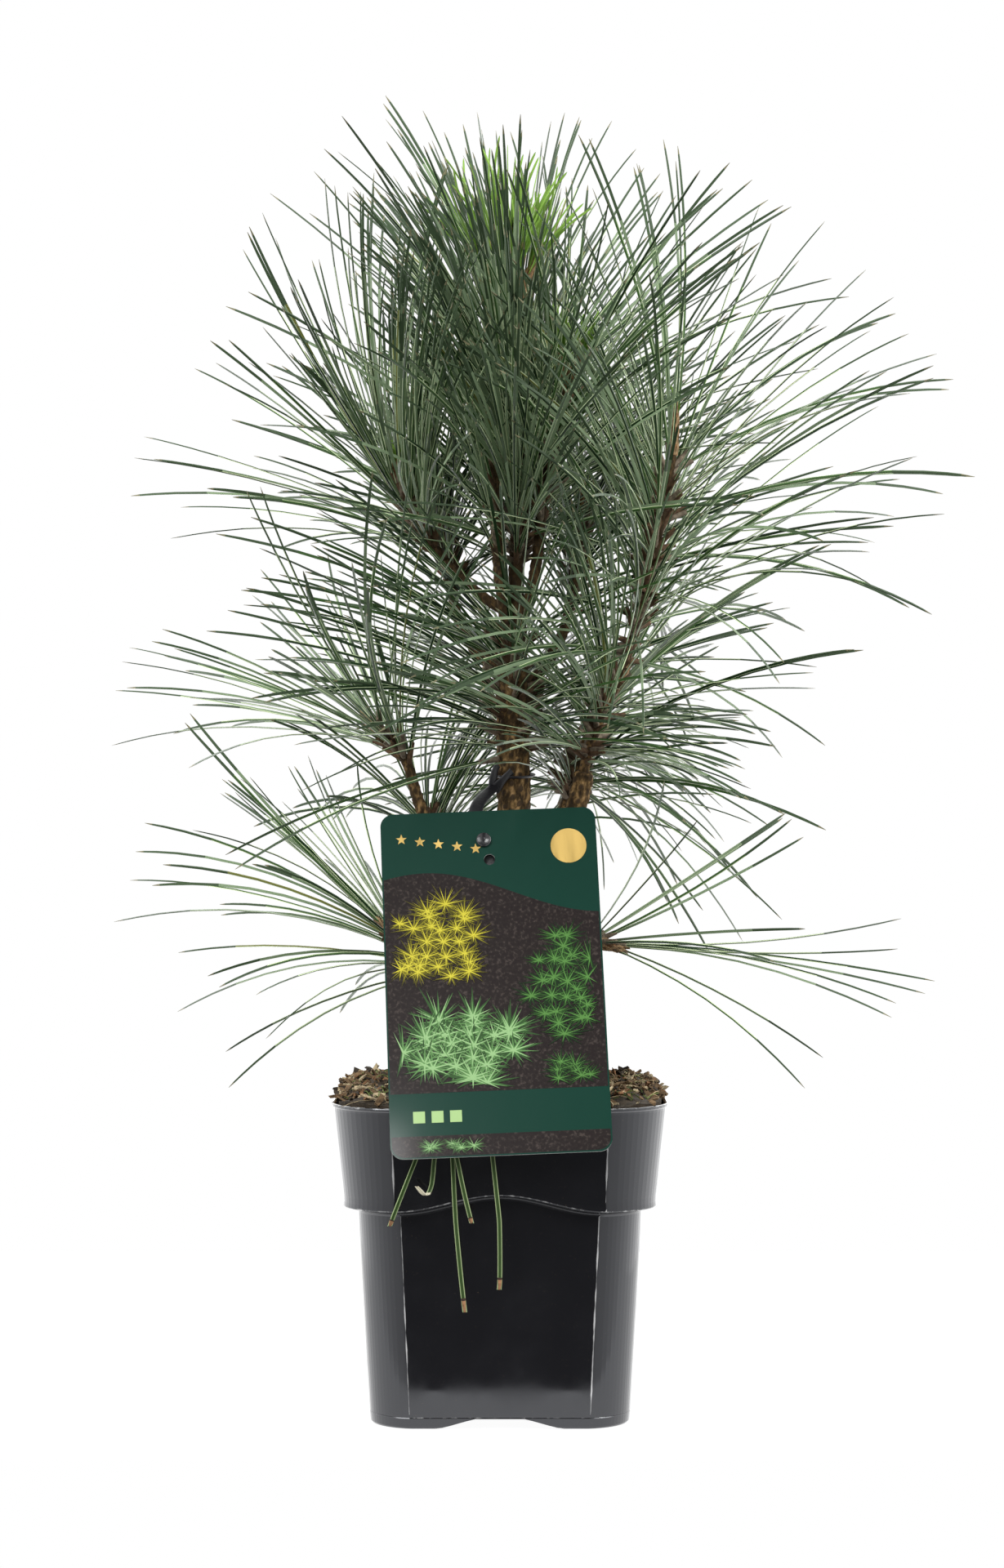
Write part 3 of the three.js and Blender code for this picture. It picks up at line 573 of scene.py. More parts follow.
def needle_finish(name, shade, roughness=0.36):
    """A needle's waxy skin: a plain colour with faint unevenness."""
    finish = Finish(name, shade, roughness, Specular_IOR_Level=0.13)
    grain = finish.noise(900, 2.0)
    finish.feed(finish.between(grain, roughness - 0.08, roughness + 0.12, 0.3, 0.7), "Roughness")
    finish.bump(grain, 0.12, 0.5)
    return finish.material


def bark_finish(name, ridge, scar):
    """Bark with dark scars, as its scar attribute tells, flaky between them and darker further up."""
    finish = Finish(name, ridge, 0.85, Specular_IOR_Level=0.2)
    relief = finish.node("Attribute", attribute_name="scar").outputs["Fac"]
    flakes = finish.noise(480, 8.0, (1, 1, 0.4))
    stops = [(0.34, scaled(ridge, 0.06)), (0.47, scaled(ridge, 0.28)), (0.57, ridge)]
    mottled = finish.ramp(flakes, [*stops, (0.70, scaled(ridge, 1.8, 0.03))])
    height = finish.node("SeparateXYZ", [(0, finish.place())]).outputs["Z"]
    upper = finish.between(height, 0.0, 0.72, 0.262, 0.312)
    cloud = finish.between(finish.noise(60, 3.0), 0.0, 0.5, 0.5, 0.7)
    darker = finish.blend(finish.maths("ADD", upper, cloud, use_clamp=True), mottled, scaled(ridge, 0.16))
    ragged = finish.maths("ADD", relief, finish.between(flakes, -0.35, 0.35, 0.3, 0.7))
    scarred = finish.between(ragged, 0.0, 0.92, 0.3, 0.85)
    finish.feed(finish.blend(scarred, darker, scar), "Base Color")
    finish.bump(finish.noise(1100, 5.0, (1, 1, 0.5)), 0.6, 1.0)
    return finish.material


# Pot

CORNER_STEPS = 14
FLAT_STEPS = 22
KINK = math.radians(7)


def square_stations():
    """Round the square: each station's side, whether it is on the flat or the corner, and its share."""
    flat = [0, 0.008, *np.linspace(0, 1, FLAT_STEPS + 1)[1:-1], 0.992, 1]
    corner = [0.018, *np.linspace(0, 1, CORNER_STEPS + 1)[1:-1], 0.982]
    return [
        (side, kind, share)
        for side in range(4)
        for kind, shares in (("flat", flat), ("corner", corner))
        for share in shares
    ]


STATIONS = square_stations()


def square_ring(half, corner):
    """The points across, one for each station, of a square whose corner arcs meet its flats at a crease."""
    flat = half - corner
    reach = corner / math.sqrt(2) / math.sin(math.pi / 4 - KINK)
    ring = []
    for side, kind, share in STATIONS:
        turn = side * math.pi / 2
        if kind == "flat":
            x, y = mix(-flat, flat, share), -half
        else:
            angle = mix(KINK, math.pi / 2 - KINK, share)
            x = flat + reach * (math.sin(angle) - math.sin(KINK))
            y = -half + reach * (math.cos(KINK) - math.cos(angle))
        ring.append((x * math.cos(turn) - y * math.sin(turn), x * math.sin(turn) + y * math.cos(turn)))
    return np.array(ring)


def wave_lift():
    """How much of the wave in the band's lower edge each station has."""
    return np.array([
        0.5 - 0.5 * math.cos(2 * math.pi * share) if kind == "flat" else 0.0
        for _, kind, share in STATIONS
    ])


def ring_skin(rows, extra=None, painted_highlight=None):
    """A skin whose rows are (half, corner, height, share of the wave) of rounded squares.

    A half of 0 draws a row together to a point. extra changes a row's points before use. The last
    argument, one row for each ring, holds how much painted highlight each point has, kept on the points.
    """
    lift = wave_lift()
    rings = []
    for half, corner, height, wave in rows:
        ring = square_ring(max(half, 1e-4), corner)
        level = height + POT["wave"] * wave * lift
        ring = np.column_stack([ring, level])
        rings.append(extra(ring) if extra else ring)
    rings = np.array(rings)
    count = len(STATIONS)

    def place(across, up):
        column = np.round(across * count).astype(int) % count
        row = np.round(up * (len(rows) - 1)).astype(int)
        if painted_highlight is None:
            return rings[row, column]
        return rings[row, column], painted_highlight[row, column]

    return wrapped(count, len(rows) - 1, place, close=False, attributes=() if painted_highlight is None else ("painted_highlight",))


def pot_size(height, inset=0.0):
    """Half width and corner radius of the pot's outside at a height."""
    below = height <= POT["waist_height"]
    low, high = (POT["foot"], POT["waist"]) if below else (POT["shoulder"], POT["rim"])
    bottom, top = (0, POT["waist_height"]) if below else (POT["shoulder_height"], POT["height"])
    share = (height - bottom) / (top - bottom)
    return mix(low[0], high[0], share) - inset, max(mix(low[1], high[1], share) - inset * 0.5, 1)


def arch_lift(points):
    """Raises the underside along two crossing ways, but not on the pad in the middle."""
    x, y = np.abs(points[:, 0]), np.abs(points[:, 1])
    slope = ARCH["height"] / (ARCH["half_width"] - ARCH["top_half_width"])
    ways = np.minimum(x, y)
    lift = np.clip((ARCH["half_width"] - ways) * slope, 0, ARCH["height"])
    lift = lift * np.clip(points[:, 2] * -1 + 6, 0, 1)
    middle = np.hypot(x, y)
    lift = lift * np.clip((middle - ARCH["pad"]) / 2, 0, 1)
    points = points.copy()
    points[:, 2] = np.maximum(points[:, 2], lift)
    return points


def pot_rows():
    """The pot's section from its underside to its floor, with each row's share of painted highlight at its
    creases and round it.
    """
    rows = []
    half, corner = pot_size(0)
    for share in np.linspace(0, 1, 16)[:-1]:
        rows.append((half * share * 0.975, corner * share, 0, 0, 0, 0))
    for height, inset, ring in (
        (0, 1.1, 0), (0.3, 0.4, 0), (0.9, 0.08, 0), (2.4, 0, 0), (4.2, -0.03, 0),
        (4.5, 0.16, 0.5), (4.8, 0, 0),
    ):
        rows.append((*pot_size(height, inset), height, 0, 0, ring))
    for height in np.linspace(6, POT["waist_height"] - 0.4, 26):
        rows.append((*pot_size(height), height, smooth_share(height), 1, 0))
    waist, shoulder = POT["waist_height"], POT["shoulder_height"]
    low, high = POT["waist"][0], POT["shoulder"][0]
    rows.append((low + 0.25, POT["waist"][1], waist + 0.3, 1, 0, 0))
    rows.append((mix(low, high, 0.5), 19, mix(waist, shoulder, 0.3), 1, 0, 0))
    for out, up, ring in (
        (-1.1, -2.3, 0), (-0.5, -2.35, 0), (-0.05, -2.1, 0.55),
        (0.15, -1.7, 0.55), (0.2, -1.4, 0), (0.1, 0, 0),
    ):
        rows.append((high + out, 20.4, shoulder + up, 1, 1 if out > 0.1 else 0, ring))
    for height in np.linspace(shoulder + 2, POT["height"] - 2.4, 13):
        rows.append((*pot_size(height), height, 1 - smooth_share(height, shoulder, POT["height"]), 1, 0))
    top = POT["height"]
    for height, inset, ring in (
        (top - 1.6, -0.1, 0), (top - 1.1, -0.5, 0), (top - 0.5, -0.55, 0.35), (top - 0.1, -0.25, 0.5),
        (top, 0.2, 0.35), (top - 0.1, 0.8, 0), (top - 0.6, POT["wall"], 0),
    ):
        rows.append((*pot_size(min(height, top), inset), height, 0, 0, ring))
    for height in (120, 110, 98):
        rows.append((*pot_size(height, POT["wall"]), height, 0, 0, 0))
    for height in (92, 84, 60, 30, 8):
        rows.append((*pot_size(min(height, 78), POT["wall"] + 0.2), height, 0, 0, 0))
    half, corner = pot_size(6, POT["wall"] + 0.4)
    for share in np.linspace(1, 0, 6):
        rows.append((half * share * 0.97, corner * share, 5.2, 0, 0, 0))
    return rows


def pot_highlight_lines(rows):
    """How much painted highlight each point has: along the creases, the band's lower edge, the foot's ring
    and the lip.
    """
    creases = np.array([1.0 if kind == "flat" and share in (0, 1) else 0.0 for _, kind, share in STATIONS])
    return np.array([np.maximum(creases * crease, ring) for *_, crease, ring in rows])


def smooth_share(height, start=40.0, end=POT["waist_height"]):
    """A share that eases from 0 at a start height to 1 at an end."""
    share = min(max((height - start) / (end - start), 0), 1)
    return share * share * (3 - 2 * share)


def plastic_finish(plastic, crease_highlight):
    """Glossy black plastic with fine scratches and dust, and pale highlight lines painted on its creases and
    edges.
    """
    finish = Finish("pot_plastic", plastic, 0.14, Specular_IOR_Level=0.56, Specular_Tint=(0.93, 0.95, 1, 1))
    # Pale lines painted as highlights along the creases, the band's lower edge, the foot's ring and the lip,
    # broken up by noise.
    painted_highlight = finish.node("Attribute", attribute_name="painted_highlight").outputs["Fac"]
    ragged = finish.between(finish.noise(330, 6.0, (1, 1, 0.3)), -0.55, 0.4, 0.3, 0.7)
    mask = finish.between(finish.maths("ADD", painted_highlight, ragged), 0.0, 0.9, 0.42, 1.0)
    dust = finish.between(finish.noise(2600, 2.0), 0.0, 1.0, 0.73, 0.78)
    soiled = finish.blend(dust, plastic, (0.10, 0.075, 0.05))
    finish.feed(finish.blend(mask, soiled, crease_highlight), "Base Color")
    film = finish.noise(60, 4.0)
    finish.feed(finish.between(film, 0.08, 0.22, 0.3, 0.7), "Roughness")
    finish.bump(finish.noise(30, 1.0, (1, 1, 0.4)), 0.35, 0.3)
    return finish.material


class PINE_OT_pot(bpy.types.Operator):
    """Make the square pot with its wavy band, lip and feet"""

    bl_idname = "pine.pot"
    bl_label = "Pot"

    def execute(self, context):
        rows = pot_rows()
        pot = ring_skin([row[:4] for row in rows], arch_lift, pot_highlight_lines(rows))
        smooth(pot, 5)
        settings = context.scene.pine_pot
        finished(pot, "pot_shell", [plastic_finish(settings.plastic, settings.crease_highlight)], "pot_plastic", "pot")
        return {"FINISHED"}


# Soil

def soil_height(x, y):
    """The height of the soil's surface."""
    edge = max(abs(x), abs(y)) / 63
    base = mix(127.6, 125.0, edge ** 8)
    rough = noise.fractal(Vector((x, y, 3)) * 0.09, 0.9, 2.2, 4)
    return base + rough * 1.5


def soil_finish(name, shade, bump=0.6):
    """Damp peat, bark or papery scales in one shade."""
    finish = Finish(name, shade, 0.9, Specular_IOR_Level=0.3)
    stops = [(0.3, scaled(shade, 0.45)), (0.5, shade), (0.7, scaled(shade, 1.6))]
    finish.feed(finish.ramp(finish.noise(500, 5.0), stops), "Base Color")
    finish.bump(finish.noise(1500, 4.0), bump, 0.8)
    return finish.material


SOIL_SHADES = {
    "peat": (0.034, 0.025, 0.016),
    "bark_chip": (0.150, 0.096, 0.050),
    "red_chip": (0.230, 0.122, 0.060),
    "pale_chip": (0.460, 0.370, 0.230),
    "moss": (0.130, 0.170, 0.050),
    "root_fibre": (0.560, 0.440, 0.260),
}
# A chip whose draw is under the first limit is bark_chip, and so on. Past the last limit it is peat.
CHIP_SHARES = (0.40, 0.54, 0.70)
MOSS_SLOT, FIBRE_SLOT = 4, 5
STRANDS = 420
SOIL_REACH = 62


def chip(size, draw):
    """One bark chip: an uneven slab of six corners below and six above."""
    long, wide, thick = size
    corners = []
    for z in (-1, 1):
        for x, y in ((-1, -1), (0, -1.15), (1, -0.8), (1, 0.9), (0.1, 1.1), (-1, 0.8)):
            jitter = np.array([draw() - 0.5 for _ in range(3)]) * 0.5
            corners.append((np.array([x, y, z]) + jitter) * (long / 2, wide / 2, thick / 2))
    faces = [[5, 4, 3, 2, 1, 0], [6, 7, 8, 9, 10, 11]]
    faces += [[i, (i + 1) % 6, (i + 1) % 6 + 6, i + 6] for i in range(6)]
    return np.array(corners), faces


def scattered(draw, reach):
    """A place on the soil, within a rounded square."""
    while True:
        x, y = (draw() * 2 - 1) * reach, (draw() * 2 - 1) * reach
        over = np.maximum(np.abs([x, y]) - (reach - 22), 0)
        clear_of_trunk = math.hypot(x - 1, y) > 9.5
        if np.hypot(*over) < 22 and clear_of_trunk:
            return x, y


def on_rim(draw):
    """A place on the soil close by the rim, at the sides or the back."""
    angle = math.radians(-28 + 236 * draw())
    across, along = math.cos(angle), math.sin(angle)
    reach = (60.5 + 3.7 * draw()) / (abs(across) ** 5 + abs(along) ** 5) ** 0.2
    return reach * across, reach * along


class PINE_OT_soil(bpy.types.Operator):
    """Make the soil with its bark chips, moss and fibres"""

    bl_idname = "pine.soil"
    bl_label = "Soil"

    def execute(self, context):
        shades = [soil_finish("soil_" + name, shade) for name, shade in SOIL_SHADES.items()]
        draw = seeded_random(41)
        self.make_bed(shades[:1])
        self.make_chips(shades, context.scene.pine_pot.chips, draw)
        self.make_strands(shades, draw)
        return {"FINISHED"}

    def make_bed(self, shades):
        """The filling of the pot, with a rough top just under the rim."""
        inset = POT["wall"] + CLEARANCE + 0.3
        rows = [(0, 1, 6, 0), (*pot_size(6, inset + 0.4), 6, 0)]
        rows += [(*pot_size(min(h, 78), inset + 0.2), h, 0) for h in (40, 79, 90)]
        rows += [(*pot_size(h, inset), h, 0) for h in (99, 110, 118)]
        half, corner = pot_size(120, inset)
        rows += [(half * s, max(corner * s, 0.5), 120, 0) for s in np.linspace(1, 0, 52)]

        def roughen(ring):
            ring = ring.copy()
            if ring[:, 2].min() > 119:
                ring[:, 2] = [soil_height(x, y) for x, y, _ in ring]
            return ring

        bed = ring_skin(rows, roughen)
        smooth(bed, 60)
        finished(bed, "soil_bed", shades, "soil", "soil")

    def make_chips(self, shades, count, draw):
        """Bark chips and crumbs of peat, one in five of them close by the rim."""
        chips = Heap()
        for i in range(count):
            x, y = scattered(draw, 62.6) if i % 5 else on_rim(draw)
            size = (1.6 + 5.8 * draw() ** 2, 0.7 + 1.8 * draw() ** 1.5, 0.4 + 0.8 * draw())
            corners, faces = chip(size, draw)
            tilt = Matrix.Rotation(math.radians((draw() - 0.5) * 110), 3, "X")
            roll = Matrix.Rotation(math.radians((draw() - 0.5) * 80), 3, "Y")
            turn = Matrix.Rotation(draw() * 2 * math.pi, 3, "Z")
            corners = corners @ np.array(turn @ roll @ tilt).T
            lift = max(soil_height(x, y), 125.6) + 0.2 + 1.6 * draw() ** 2
            kind = draw()
            slot = next((k for k, limit in enumerate(CHIP_SHARES, 1) if kind < limit), 0)
            chips.add(corners + (x, y, lift), faces, slot)
        finished(chips.mesh("soil_chips"), "soil_chips", shades, "soil")

    def make_strands(self, shades, draw):
        """Short raised blades of moss and longer arched root fibres."""
        strands = Heap()
        for i in range(STRANDS):
            x, y = scattered(draw, 60)
            mossy = i % 3 > 0
            reach = (2 + 3 * draw()) if mossy else (6 + 14 * draw())
            angle = draw() * 2 * math.pi
            rise = (1.0 + 1.5 * draw()) if mossy else (0.6 + 2.0 * draw())
            bend = (draw() - 0.5) * 1.6
            line = []
            for share in np.linspace(0, 1, 6):
                a = angle + bend * share
                px, py = x + reach * share * math.cos(a), y + reach * share * math.sin(a)
                px, py = (min(max(place, -SOIL_REACH), SOIL_REACH) for place in (px, py))
                arch = math.sin(math.pi * min(share * (0.6 if mossy else 1), 1)) * rise
                line.append((px, py, soil_height(px, py) + 0.3 + arch))
            radius = 0.35 if mossy else 0.22
            slot = MOSS_SLOT if mossy else FIBRE_SLOT
            strands.rod(line, np.linspace(radius, radius * 0.4, 6), 3, slot)
        finished(strands.mesh("soil_strands"), "soil_strands", shades, "soil")


# Bark

def bark_tube(curve, radius_at, relief, sides, step, spirals, foot_flare=None, start=0.0):
    """A tube with the scars of fallen needles in crossing spirals; its ends are rounded over."""
    total = curve.run[-1]
    rows = max(int(total * (1 - start) / step), 8)
    shares = np.linspace(start, 1, rows + 1)
    points = np.array([curve.at(share) for share in shares])
    _, across, out = frames_along(points)
    left, right = spirals
    spacing = 2 * math.pi * radius_at(shares[rows // 2], points[rows // 2]) / (left + right)

    def place(around, up):
        row = np.round(up * rows).astype(int)
        angle = 2 * math.pi * np.round(around * sides) / sides
        run = shares[row] * total
        one = (angle / (2 * math.pi) * left + run / (spacing * 1.9)) % 1 - 0.5
        two = (-angle / (2 * math.pi) * right + run / (spacing * 1.9)) % 1 - 0.5
        lozenge = 1 - np.maximum(np.abs(one), np.abs(two)) * 2
        scar = np.clip(1.35 - np.hypot(one, two) * 3.4, 0, 1)
        crack = np.clip(lozenge * 5, 0, 1)
        radii = np.array([radius_at(share, point) for share, point in zip(shares, points)])[row]
        wobble = np.array([
            noise.noise(Vector((math.cos(a) * 2.6, math.sin(a) * 2.6, r * 0.22))) for a, r in zip(angle, run)
        ])
        scar = np.clip(scar + wobble * 0.5 * (scar > 0), 0, 1)
        raised = relief * (0.55 * crack + 0.55 * scar - 0.45) * np.minimum(radii / 4, 1)
        width = radii + raised + wobble * 0.07 * radii
        end = np.minimum(shares[row] - start, 1 - shares[row]) * total
        width = width * np.sqrt(np.clip(end / (radii * 0.35) + 1e-6, 0, 1))
        round_part = np.cos(angle)[:, None] * across[row] + np.sin(angle)[:, None] * out[row]
        made = points[row] + round_part * width[:, None]
        if foot_flare is not None:
            made[:, 2] = np.maximum(made[:, 2], foot_flare)
        return made, np.clip(scar * 1.1 + (1 - crack) * 0.45 + wobble * 0.3, 0, 1)

    return wrapped(sides, rows, place, close=False, attributes=("scar",))


class PINE_OT_bark(bpy.types.Operator):
    """Make the trunk, the boughs and their twigs with relief in the bark"""

    bl_idname = "pine.bark"
    bl_label = "Trunk and boughs"

    def execute(self, context):
        settings = context.scene.pine_bark
        relief = settings.relief / MM
        bark = bark_finish("bark", settings.ridge, settings.scar)
        twig_bark = bark_finish("twig_bark", scaled(settings.ridge, 0.85), settings.scar)

        def trunk_width(_, point):
            flare = 1.8 * max(0, 1 - (point[2] - SOIL_TOP) / 9)
            return trunk_radius(point[2]) * 0.97 + flare * 0.4

        trunk = bark_tube(
            TRUNK, trunk_width, relief, sides=56, step=0.8, spirals=(5, 8), foot_flare=SOIL_TOP - 2,
        )
        smooth(trunk, 60)
        finished(trunk, "trunk_bark", [bark], "bark", "trunk")
        for name, (_, _, _, radii) in LIMBS.items():
            curve = LIMB_CURVES[name]
            tube = bark_tube(
                curve, lambda share, _, radii=radii: mix(*radii, share), relief,
                sides=30, step=0.8, spirals=(3, 5), start=0.04,
            )
            smooth(tube, 60)
            finished(tube, name + "_bark", [bark], "bark", name)
        for name, shoot in SHOOTS.items():
            if "around" in shoot:
                continue
            curve, _ = shoot_curve(shoot)
            rooted = Curve([curve.at(0) - curve.heading(0) * 3.5, *curve.points])
            stem = bark_tube(
                rooted, lambda share, _: mix(*STEM_RADII, share), relief,
                sides=24, step=0.9, spirals=(3, 5),
            )
            smooth(stem, 60)
            finished(stem, name.replace("needles", "twig"), [twig_bark], "bark")
        return {"FINISHED"}


# Needles

def card_frame():
    """The card's place: x across, y up along it, z out of its front."""
    across, up = CARD["foot"]
    lean = math.radians(CARD["lean"])
    depth = -POT["rim"][0] - CARD["stand_off"] - (POT["height"] - up) * math.tan(lean)
    upright = Matrix.Rotation(math.pi / 2 - lean, 4, "X")
    rolled = Matrix.Rotation(math.radians(CARD["roll"]), 4, "Z")
    return Matrix.Translation((across, depth, up)) @ upright @ rolled


CARD_FRAME = card_frame()
INTO_CARD = np.array(CARD_FRAME.inverted())


def on_card(points):
    """Points of the card's own frame, taken to the plant's."""
    points = np.asarray(points, float)
    return points @ np.array(CARD_FRAME)[:3, :3].T + np.array(CARD_FRAME)[:3, 3]


def hits_fixed_things(points, reach=BERTH):
    """True where a row of points touches the card, the pot or the soil."""
    local = points @ INTO_CARD[:3, :3].T + INTO_CARD[:3, 3]
    over_card = (
        (np.abs(local[:, 0]) < CARD["width"] / 2 + reach)
        & (local[:, 1] > -reach)
        & (local[:, 1] < CARD["height"] + reach)
        & (np.abs(local[:, 2]) < reach)
    )
    wide = np.abs(points[:, :2]).max(axis=1)
    over_pot = (wide < POT["rim"][0] + reach) & (points[:, 2] < SOIL_TOP + reach)
    return bool((over_card | over_pot).any())


SHOOT_CURVES = {name: shoot_curve(shoot) for name, shoot in SHOOTS.items()}
SHOOT_POINTS = {
    name: np.array([curve.at(mix(*reach, i / 6)) for i in range(7)])
    for name, (curve, reach) in SHOOT_CURVES.items()
}


def limb_balls():
    """Points with a radius all along the trunk and limbs, which needles keep clear of."""
    rows = [(*TRUNK.at(s), trunk_radius(TRUNK.at(s)[2])) for s in np.linspace(0, 1, 120)]
    for name, curve in LIMB_CURVES.items():
        rows += [(*curve.at(s), mix(*LIMBS[name][3], s)) for s in np.linspace(0.1, 1, 30)]
    for name, (curve, _) in SHOOT_CURVES.items():
        if "around" not in SHOOTS[name]:
            rows += [(*curve.at(s), mix(*STEM_RADII, s)) for s in np.linspace(0, 1, 24)]
    return np.array(rows)


LIMB_BALLS = limb_balls()
# Where along a needle it is tried, how much of its root may touch its own limb, and the room that it leaves.
NEEDLE_PROBES = np.linspace(0, 1, 25)
ROOT_REACH = 14
LIMB_GAP = 0.9


def needle_line(root, along, turn, lean, reach, sag):
    """A needle leaves its stem steeply, opens outward at its knee and sags as far as it lies flat."""
    side = np.array([0.0, 0, 1]) if abs(along[2]) < 0.9 else np.array([1.0, 0, 0])
    across = turned(unit(np.cross(side, along)), along, turn)

    def heading(angle):
        return along * math.cos(math.radians(angle)) + across * math.sin(math.radians(angle))

    arch, share = NEEDLE["arch"], NEEDLE["knee_share"]
    knee = root + heading(lean - arch) * reach * share
    outer = heading(lean + arch)
    tip = knee + outer * reach * (1 - share)
    tip[2] -= sag * reach * (1 - outer[2] ** 2)
    return root, knee, tip


def has_room(name, root, knee, tip):
    """True if a needle keeps to its own space and clears limbs, card, pot and soil."""
    own = SHOOT_POINTS[name]
    for point in (knee, tip):
        near = np.linalg.norm(own - point, axis=1).min() - NEEDLE["shared_space"]
        for other, stem in SHOOT_POINTS.items():
            if other != name and near > np.linalg.norm(stem - point, axis=1).min():
                return False
    reach = np.linalg.norm(tip - root)
    line = bent(root, knee, tip, NEEDLE_PROBES)
    if hits_fixed_things(line[2:]):
        return False
    free = line[NEEDLE_PROBES * reach > ROOT_REACH]
    gaps = np.linalg.norm(free[:, None] - LIMB_BALLS[None, :, :3], axis=2) - LIMB_BALLS[:, 3]
    return gaps.min() > LIMB_GAP


def shown_bark():
    """Points of the bark that shows between the needles from the front, each with a half width."""
    stretches = [
        (TRUNK, 7.5, np.linspace(0, 0.68, 40)),
        (LIMB_CURVES["right_bough"], 5, np.linspace(0.3, 1, 16)),
        (LIMB_CURVES["cut_leader"], 4, np.linspace(0.3, 1, 16)),
        (SHOOT_CURVES["right_low_needles"][0], 4.5, np.linspace(0, 1, 24)),
        (SHOOT_CURVES["right_needles"][0], 4.5, np.linspace(0, 1, 24)),
    ]
    return np.array([(*curve.at(share), reach) for curve, reach, shares in stretches for share in shares])


SHOWN_BARK = shown_bark()


def hides_bark(root, knee, tip):
    """True if a needle would pass before the bark that shows from the front."""
    line = bent(root, knee, tip, NEEDLE_PROBES)[3:]
    aside = np.abs(line[:, None, 0] - SHOWN_BARK[:, 0])
    level = np.abs(line[:, None, 2] - SHOWN_BARK[:, 2])
    before = SHOWN_BARK[:, 1] - line[:, None, 1]
    return bool(((aside < SHOWN_BARK[:, 3]) & (level < 4) & (before > 3)).any())


def within_crown(tip, luck):
    """True if a needle ends within the crown's outline; few are lucky enough to reach its edge."""
    nearness = VIEW_DISTANCE / (VIEW_DISTANCE + tip[1])
    x = tip[0] * nearness - CROWN_MIDDLE[0]
    z = (tip[2] - VIEW_HEIGHT) * nearness + VIEW_HEIGHT - CROWN_MIDDLE[1]
    turn = math.degrees(math.atan2(z, x)) % 360 / 15
    close, far = (
        mix(CROWN[int(turn) % 24][k], CROWN[(int(turn) + 1) % 24][k], turn % 1) for k in (0, 1)
    )
    return math.hypot(x, z) <= mix(close, far, luck ** CROWN_FADE)


def grow(name, shoot, fullness, seed):
    """The needle pairs of a shoot by the plant's rule: (root, knee, tip, share up the shoot, its draw)."""
    curve, (first, last) = SHOOT_CURVES[name]
    count = int(shoot["pairs"] * fullness)
    low = name.startswith("low")
    pairs = []
    for i in range(count):
        draw = seeded_random(seed * 1009 + i * i * 31 + i)
        luck = draw()
        stray = luck > shoot.get("common", NEEDLE["common"])
        share = ((i + 0.5) / count) ** NEEDLE["crowding"]
        at = mix(first, last, share)
        root, along = curve.at(at), curve.heading(at)
        for attempt in range(NEEDLE["tries"]):
            jitter = (draw() - 0.5) * 2 * NEEDLE["turn_spread"]
            turn = i * GOLDEN_TURN + attempt * NEEDLE["try_turn"] + jitter
            spread = shoot.get("spread", NEEDLE["spread"])
            wished = mix(*shoot["lean"], share) + (draw() - 0.5) * 2 * spread
            usual = mix(NEEDLE["longest"], NEEDLE["shortest"], draw() ** 1.4)
            reach = shoot.get("length", NEEDLE["length"]) * (NEEDLE["stray"] if stray else usual)
            sag = shoot.get("sag", NEEDLE["sag"])
            line = needle_line(root, along, turn, max(NEEDLE["least_lean"], wished), reach, sag)
            parted = draw() < NEEDLE["parting"]
            inside = low or within_crown(line[2], 1 if stray else luck)
            reaches = inside and line[2][2] >= shoot.get("lowest", 0)
            if reaches and not (parted and hides_bark(*line)) and has_room(name, *line):
                pairs.append((*line, share, draw))
                break
    return pairs


# A needle's section, from its flat inner side round its back, and its width along its length.
SECTION = np.array([(1, -0.05), (-1, -0.05), (-0.8, 0.32), (0, 0.78), (0.8, 0.32)])
NEEDLE_STEPS = np.array([0, 0.06, 0.18, 0.32, 0.46, 0.6, 0.73, 0.84, 0.92, 0.97, 1])
NEEDLE_WIDTHS = np.array([0.7, 0.86, 0.97, 1, 1, 1, 1, 0.96, 0.88, 0.7, 0.15])
GREY_SLOT, EDGE_HIGHLIGHT_SLOT, TIP_SLOT, DUSK_SLOT = 2, 4, 5, 6
GREEN_SEGMENTS, DUSK_SEGMENTS = 6, 3
SHADE_SHARES = (0.34, 0.76, 0.95, 1.0)


def needle_slots(shade, inner, sides):
    """A slot for each face of a needle: its shade, inner side, painted highlights on its edges, a dusky end,
    a dry tip.
    """
    around = [inner] + [EDGE_HIGHLIGHT_SLOT if i in (1, sides - 1) else shade for i in range(1, sides)]
    green = [shade] + around * GREEN_SEGMENTS
    return green + [DUSK_SLOT] * (sides * DUSK_SEGMENTS) + [TIP_SLOT] * (sides + 1)


def add_needle(heap, line, flat_side, half_width, slots):
    """Adds one needle along a row of points, its flat side turned one way."""
    headings = np.array([unit(h) for h in np.gradient(line, axis=0)])
    normals = np.array([unit(flat_side - h * np.dot(flat_side, h)) for h in headings])
    across = np.cross(headings, normals)
    rings = [
        p + half_width * w * (SECTION[:, :1] * a + SECTION[:, 1:] * n)
        for p, w, a, n in zip(line, NEEDLE_WIDTHS, across, normals)
    ]
    heap.add(np.concatenate(rings), rod_faces(len(rings), len(SECTION)), slots)


def bowed(root, knee, tip, shares):
    """Points along a smooth bow that passes close by the knee."""
    return bent(root, knee + 0.55 * (knee - (root + tip) / 2), tip, shares)


